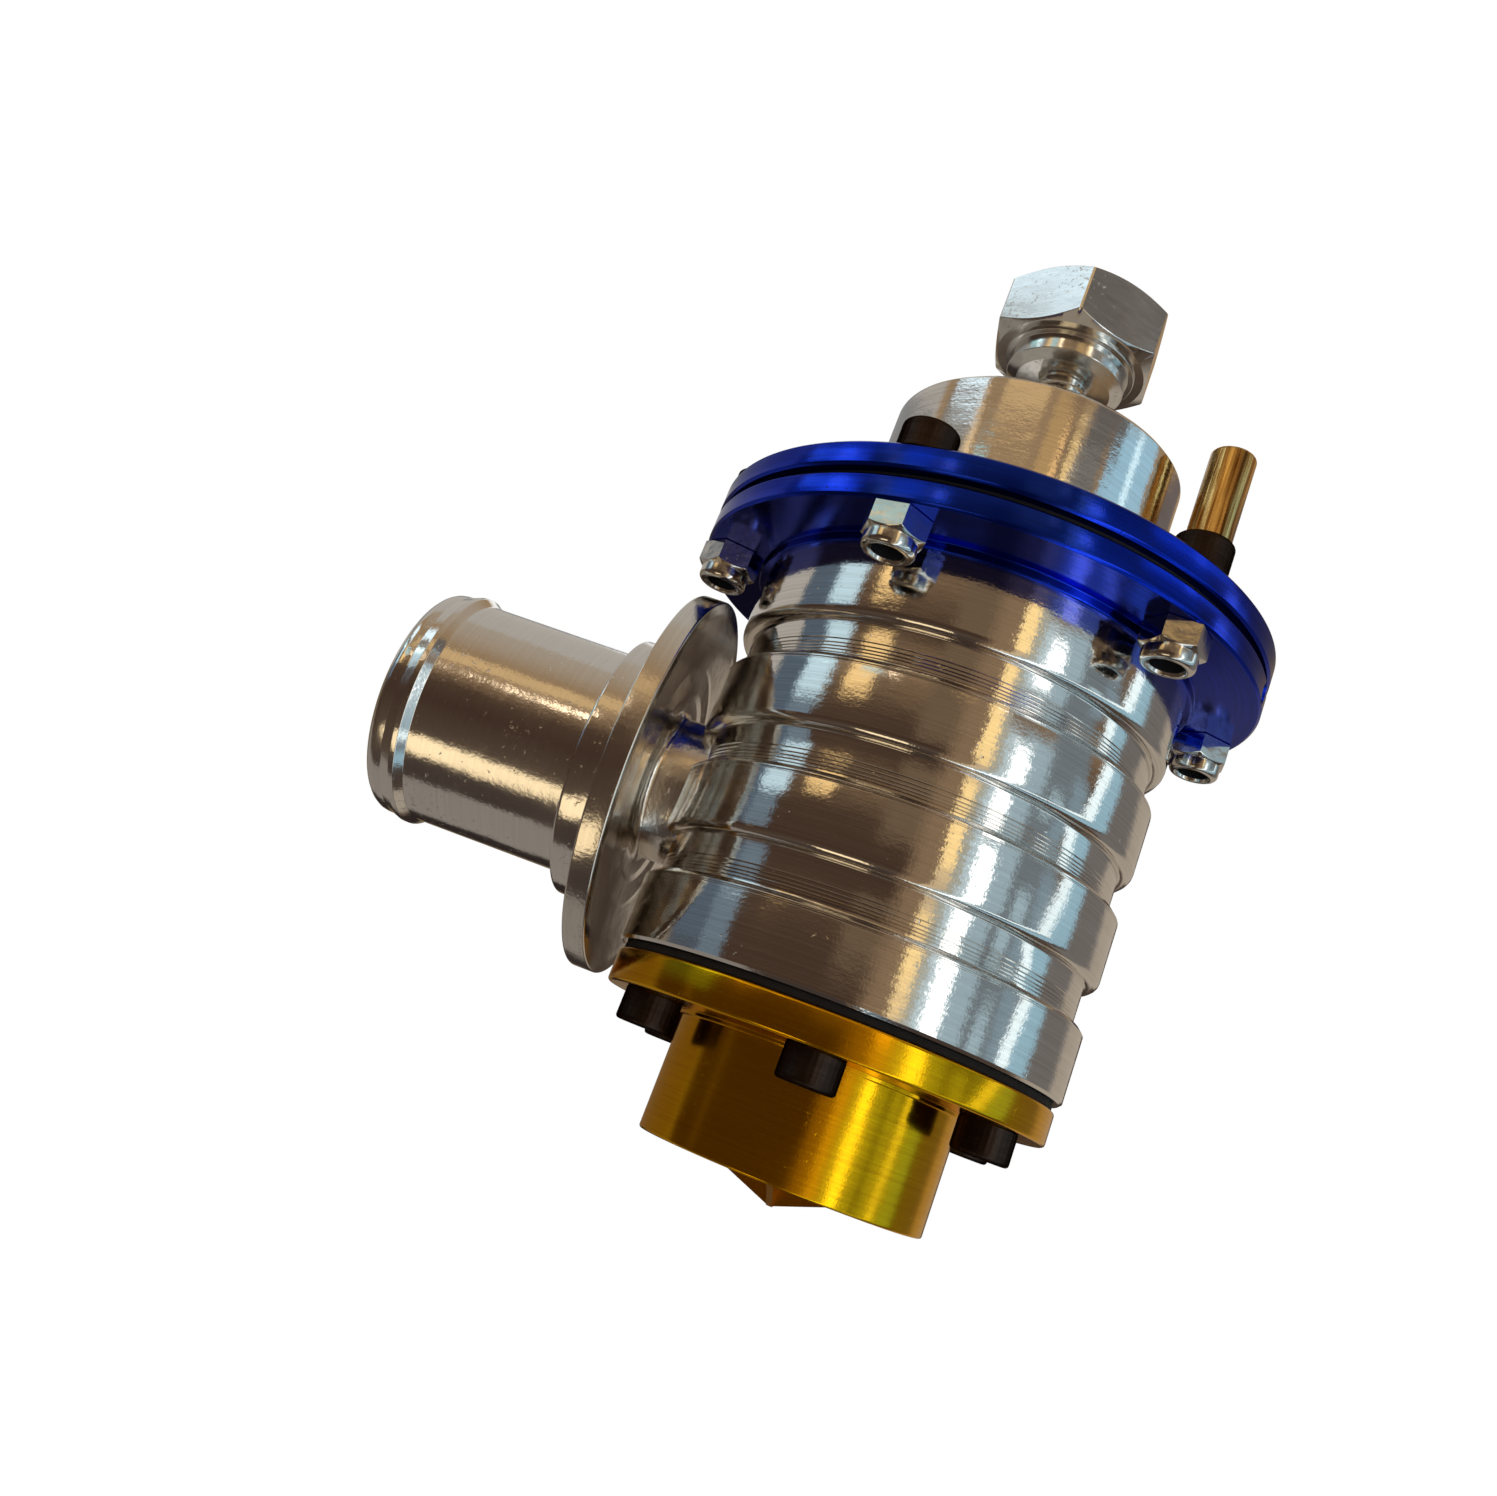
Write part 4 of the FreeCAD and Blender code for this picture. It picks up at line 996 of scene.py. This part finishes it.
studio = {
    "floorLevel": -0.07, "floorRadius": 0.42, "floorRings": (0, 0.2, 0.6, 1.0), "floorColumns": 96,
    "floorColour": "#F4F3F1", "floorLift": 0.3, "plain": 0.78, "leanFrom": 10.0,
    # walls from straight down to straight up: sine of the elevation, light
    "walls": ((-1.0, (0.06, 0.045, 0.04)), (-0.6, (0.1, 0.07, 0.05)), (-0.1, (0.065, 0.038, 0.026)),
              (0.2, (0.085, 0.052, 0.034)), (0.3, (0.17, 0.11, 0.065)), (0.4, (0.27, 0.175, 0.10)),
              (0.5, (0.40, 0.27, 0.15)), (0.75, (0.38, 0.26, 0.15)), (1.0, (0.5, 0.45, 0.38))),
    # panels: azimuth, half width, edge, elevation from, to, edge, light and, where it leans,
    # how many degrees it leans aside for each degree up
    "panels": (
        (30, 14, 6, -30, 22, 6, (0.2, 0.185, 0.175)),
        (60, 14, 9, -60, 18, 7, (0.45, 0.39, 0.32)),
        (80, 6, 4, -6, 24, 5, (0.06, 0.042, 0.032)),
        (135, 34, 8, -80, 6, 8, (0.3, 0.27, 0.24)),
        (135, 30, 10, -9, 9, 3, (0.2, 0.15, 0.09)),
        (104, 20, 6, -31, -9, 2, (0.03, 0.022, 0.02)),
        (140, 32, 8, 14, 80, 6, (0.52, 0.49, 0.45)),
        (102, 6, 5, 22, 44, 6, (1.2, 1.2, 1.2)),
        (135, 34, 6, 24.5, 31, 1.5, (0.28, 0.28, 0.28)),
        (40, 24, 8, 24.5, 31, 1.5, (0.17, 0.14, 0.13)),
        (-175, 9, 4, 7, 24, 5, (0.11, 0.15, 0.2)),
        (-160, 5, 4, 5, 12, 4, (0.18, 0.24, 0.3)),
        (-163, 1, 1.5, -9, 2, 2, (0.15, 0.11, 0.07)),
        (-159, 5.5, 5, 14, 28.2, 1.5, (0.7, 0.95, 1.08)),
        (-169, 8, 5, 24.5, 28.2, 1.5, (0.7, 1.3, 1.4)),
        (-161, 2, 4, 25, 27.5, 1.5, (2.0, 2.6, 2.7)),
        (-145, 2.5, 2.5, 28, 33, 1.5, (1.0, 0.75, 0.45)),
        (-121, 5, 4, 25, 28, 1.5, (1.0, 0.75, 0.5)),
        (-118, 1.2, 2, 25, 28, 1.2, (3.2, 2.5, 1.7)),
        (-134.7, 5.2, 4.5, 18, 27, 4, (1.3, 0.88, 0.38)),
        (-131, 4, 4, 24.5, 30, 1.5, (0.5, 0.8, 0.85)),
        (-88, 7, 8, 12, 25, 6, (0.19, 0.13, 0.08)),
        (-72, 3, 10, -80, 40, 8, (0.3, 0.2, 0.12)),
        (-75, 2, 2.5, 28.5, 33, 1.5, (1.2, 0.75, 0.32)),
        (-53, 3, 3, -80, 18, 5, (0.62, 0.77, 0.84)),
        (-59, 2, 2, -80, 26, 5, (0.5, 0.5, 0.42)),
        (-64, 2.5, 2, -80, 29, 3, (0.78, 0.6, 0.37)),
        (-64, 2.5, 2, 11, 29, 8, (1.4, 1.02, 0.46)),
        (-37, 9, 4, -80, 19, 4, (0.42, 0.57, 0.65)),
        (-46.5, 3, 3, -80, 14.5, 4, (2.2, 2.35, 2.4)),
        (-19, 9, 5, -80, 24, 5, (0.2, 0.24, 0.27)),
        (-22, 2.5, 3, -10, 8, 4, (0.44, 0.6, 0.68)),
        (-10, 3, 4, -60, 14, 4, (0.27, 0.37, 0.44)),
        (8, 5, 5, -60, 22, 5, (0.38, 0.62, 0.76), 0.3),
        (-1, 2.5, 2.5, -60, 24, 4, (1.2, 1.42, 1.5), 0.6),
        (-51, 8, 5, 25, 33, 1.5, (0.245, 0.235, 0.215)),
        (-61, 1.5, 2.5, 25.5, 28.5, 1.2, (3.2, 2.6, 2.0)),
        (-14, 20, 4, 28.5, 36, 1.5, (0.42, 0.7, 0.9)),
        (-12, 2, 2, 28, 35, 1.2, (0.9, 1.25, 1.45)),
        (-113, 15, 5, 35, 43, 2, (0.75, 0.52, 0.26)),
        (-160, 12, 4, 34.2, 43, 0.8, (1.15, 1.42, 1.6)),
        (-161, 12, 6, 28.6, 33.6, 1, (0.27, 0.23, 0.19)),
        (-42, 13, 4, 33.6, 43, 1, (0.16, 0.145, 0.135)),
        (-82, 4, 4, 26, 36, 3, (0.58, 0.38, 0.17)),
        (-118, 14, 5, -56, -43, 4, (1.5, 1.2, 0.75)),
    ),
    "lamps": {"keyLamp": ((0.35, -0.55, 0.55), 2.6), "fillLamp": ((-0.5, -0.3, 0.45), 1.2)},
    "lampSize": 0.4, "lampTarget": (0, 0, 0.06),
}


def addFloor(s):
    outline = np.array([(ring * s["floorRadius"], s["floorLevel"]) for ring in s["floorRings"]]) / mm
    material, tree = newMaterial("paperFloor")
    matt = addNode(tree, "BsdfDiffuse", {"Color": hexToLinear(s["floorColour"])})
    # a glow for the camera only lifts the paper towards white
    path = addNode(tree, "LightPath").outputs
    lift = maths(tree, "MULTIPLY", path["Is Camera Ray"], s["floorLift"])
    glow = addNode(tree, "Emission", {"Strength": lift})
    both = addNode(tree, "AddShader", {0: matt.outputs[0], 1: glow.outputs[0]})
    addNode(tree, "OutputMaterial", {"Surface": both.outputs[0]})
    floor = makeMesh("floor", *lathe(outline, s["floorColumns"], closed=False), material)
    floor.data.flip_normals()
    # the metal mirrors the studio's walls below it, not the paper
    floor.visible_glossy = False


def addPanel(tree, s, azimuth, elevation, scene, panel):
    # lays one lit panel with soft edges over the scene that the glossy rays see
    middle, half, edge, low, high, soft, light, *lean = panel
    turn = maths(tree, "SUBTRACT", azimuth, middle)
    if lean:
        rise = maths(tree, "SUBTRACT", elevation, s["leanFrom"])
        turn = maths(tree, "SUBTRACT", turn, maths(tree, "MULTIPLY", rise, lean[0]))
    aside = maths(tree, "ABSOLUTE", maths(tree, "WRAP", turn, 180.0, -180.0))
    wide = mapRange(tree, aside, half + edge, half, shape="SMOOTHSTEP")
    off = maths(tree, "ABSOLUTE", maths(tree, "SUBTRACT", elevation, (low + high) / 2))
    tall = mapRange(tree, off, (high - low) / 2 + soft, (high - low) / 2, shape="SMOOTHSTEP")
    return mixColours(tree, maths(tree, "MULTIPLY", wide, tall), scene, (*light, 1))


def addWorld(s):
    # Camera rays see white. Reflections see a soft studio: brown walls that grow lighter with
    # height, with pale windows and lit panels. Everything else is lit by a plain even level.
    world = bpy.data.worlds.new("studio")
    bpy.context.scene.world = world
    world.use_nodes = True
    tree = world.node_tree
    tree.nodes.clear()
    ray = addNode(tree, "TexCoord").outputs["Generated"]
    parts = addNode(tree, "SeparateXYZ", {0: ray}).outputs
    azimuth = maths(tree, "DEGREES", maths(tree, "ARCTAN2", parts["Y"], parts["X"]))
    elevation = maths(tree, "DEGREES", maths(tree, "ARCSINE", parts["Z"]))
    walls = addNode(tree, "ValToRGB", {"Fac": mapRange(tree, parts["Z"], -1.0, 1.0)})
    setRamp(walls, [((z + 1) / 2, (*light, 1)) for z, light in s["walls"]])
    scene = walls.outputs["Color"]
    for panel in s["panels"]:
        scene = addPanel(tree, s, azimuth, elevation, scene, panel)
    path = addNode(tree, "LightPath").outputs
    colour = mixColours(tree, path["Is Glossy Ray"], grey(s["plain"]), scene)
    colour = mixColours(tree, path["Is Camera Ray"], colour, grey(1.0))
    light = addNode(tree, "Background", {"Strength": 1.0, "Color": colour})
    addNode(tree, "OutputWorld", {"Surface": light.outputs[0]})
    world.cycles.sampling_method = "NONE"


def addLamps(s):
    for name, (spot, power) in s["lamps"].items():
        data = bpy.data.lights.new(name, "AREA")
        data.shape = "RECTANGLE"
        data.size = data.size_y = s["lampSize"]
        data.energy = power
        obj = bpy.data.objects.new(name, data)
        bpy.context.scene.collection.objects.link(obj)
        aim = (Vector(s["lampTarget"]) - Vector(spot)).to_track_quat("-Z", "Y")
        obj.matrix_world = Matrix.Translation(Vector(spot)) @ aim.to_matrix().to_4x4()
        obj.visible_glossy = False


addFloor(studio)
addWorld(studio)
addLamps(studio)
bpy.context.scene.view_settings.view_transform = "Standard"
# light gets out of the narrow gap between the horn and the body only after many reflections
bpy.context.scene.cycles.glossy_bounces = 10
print("studio done")
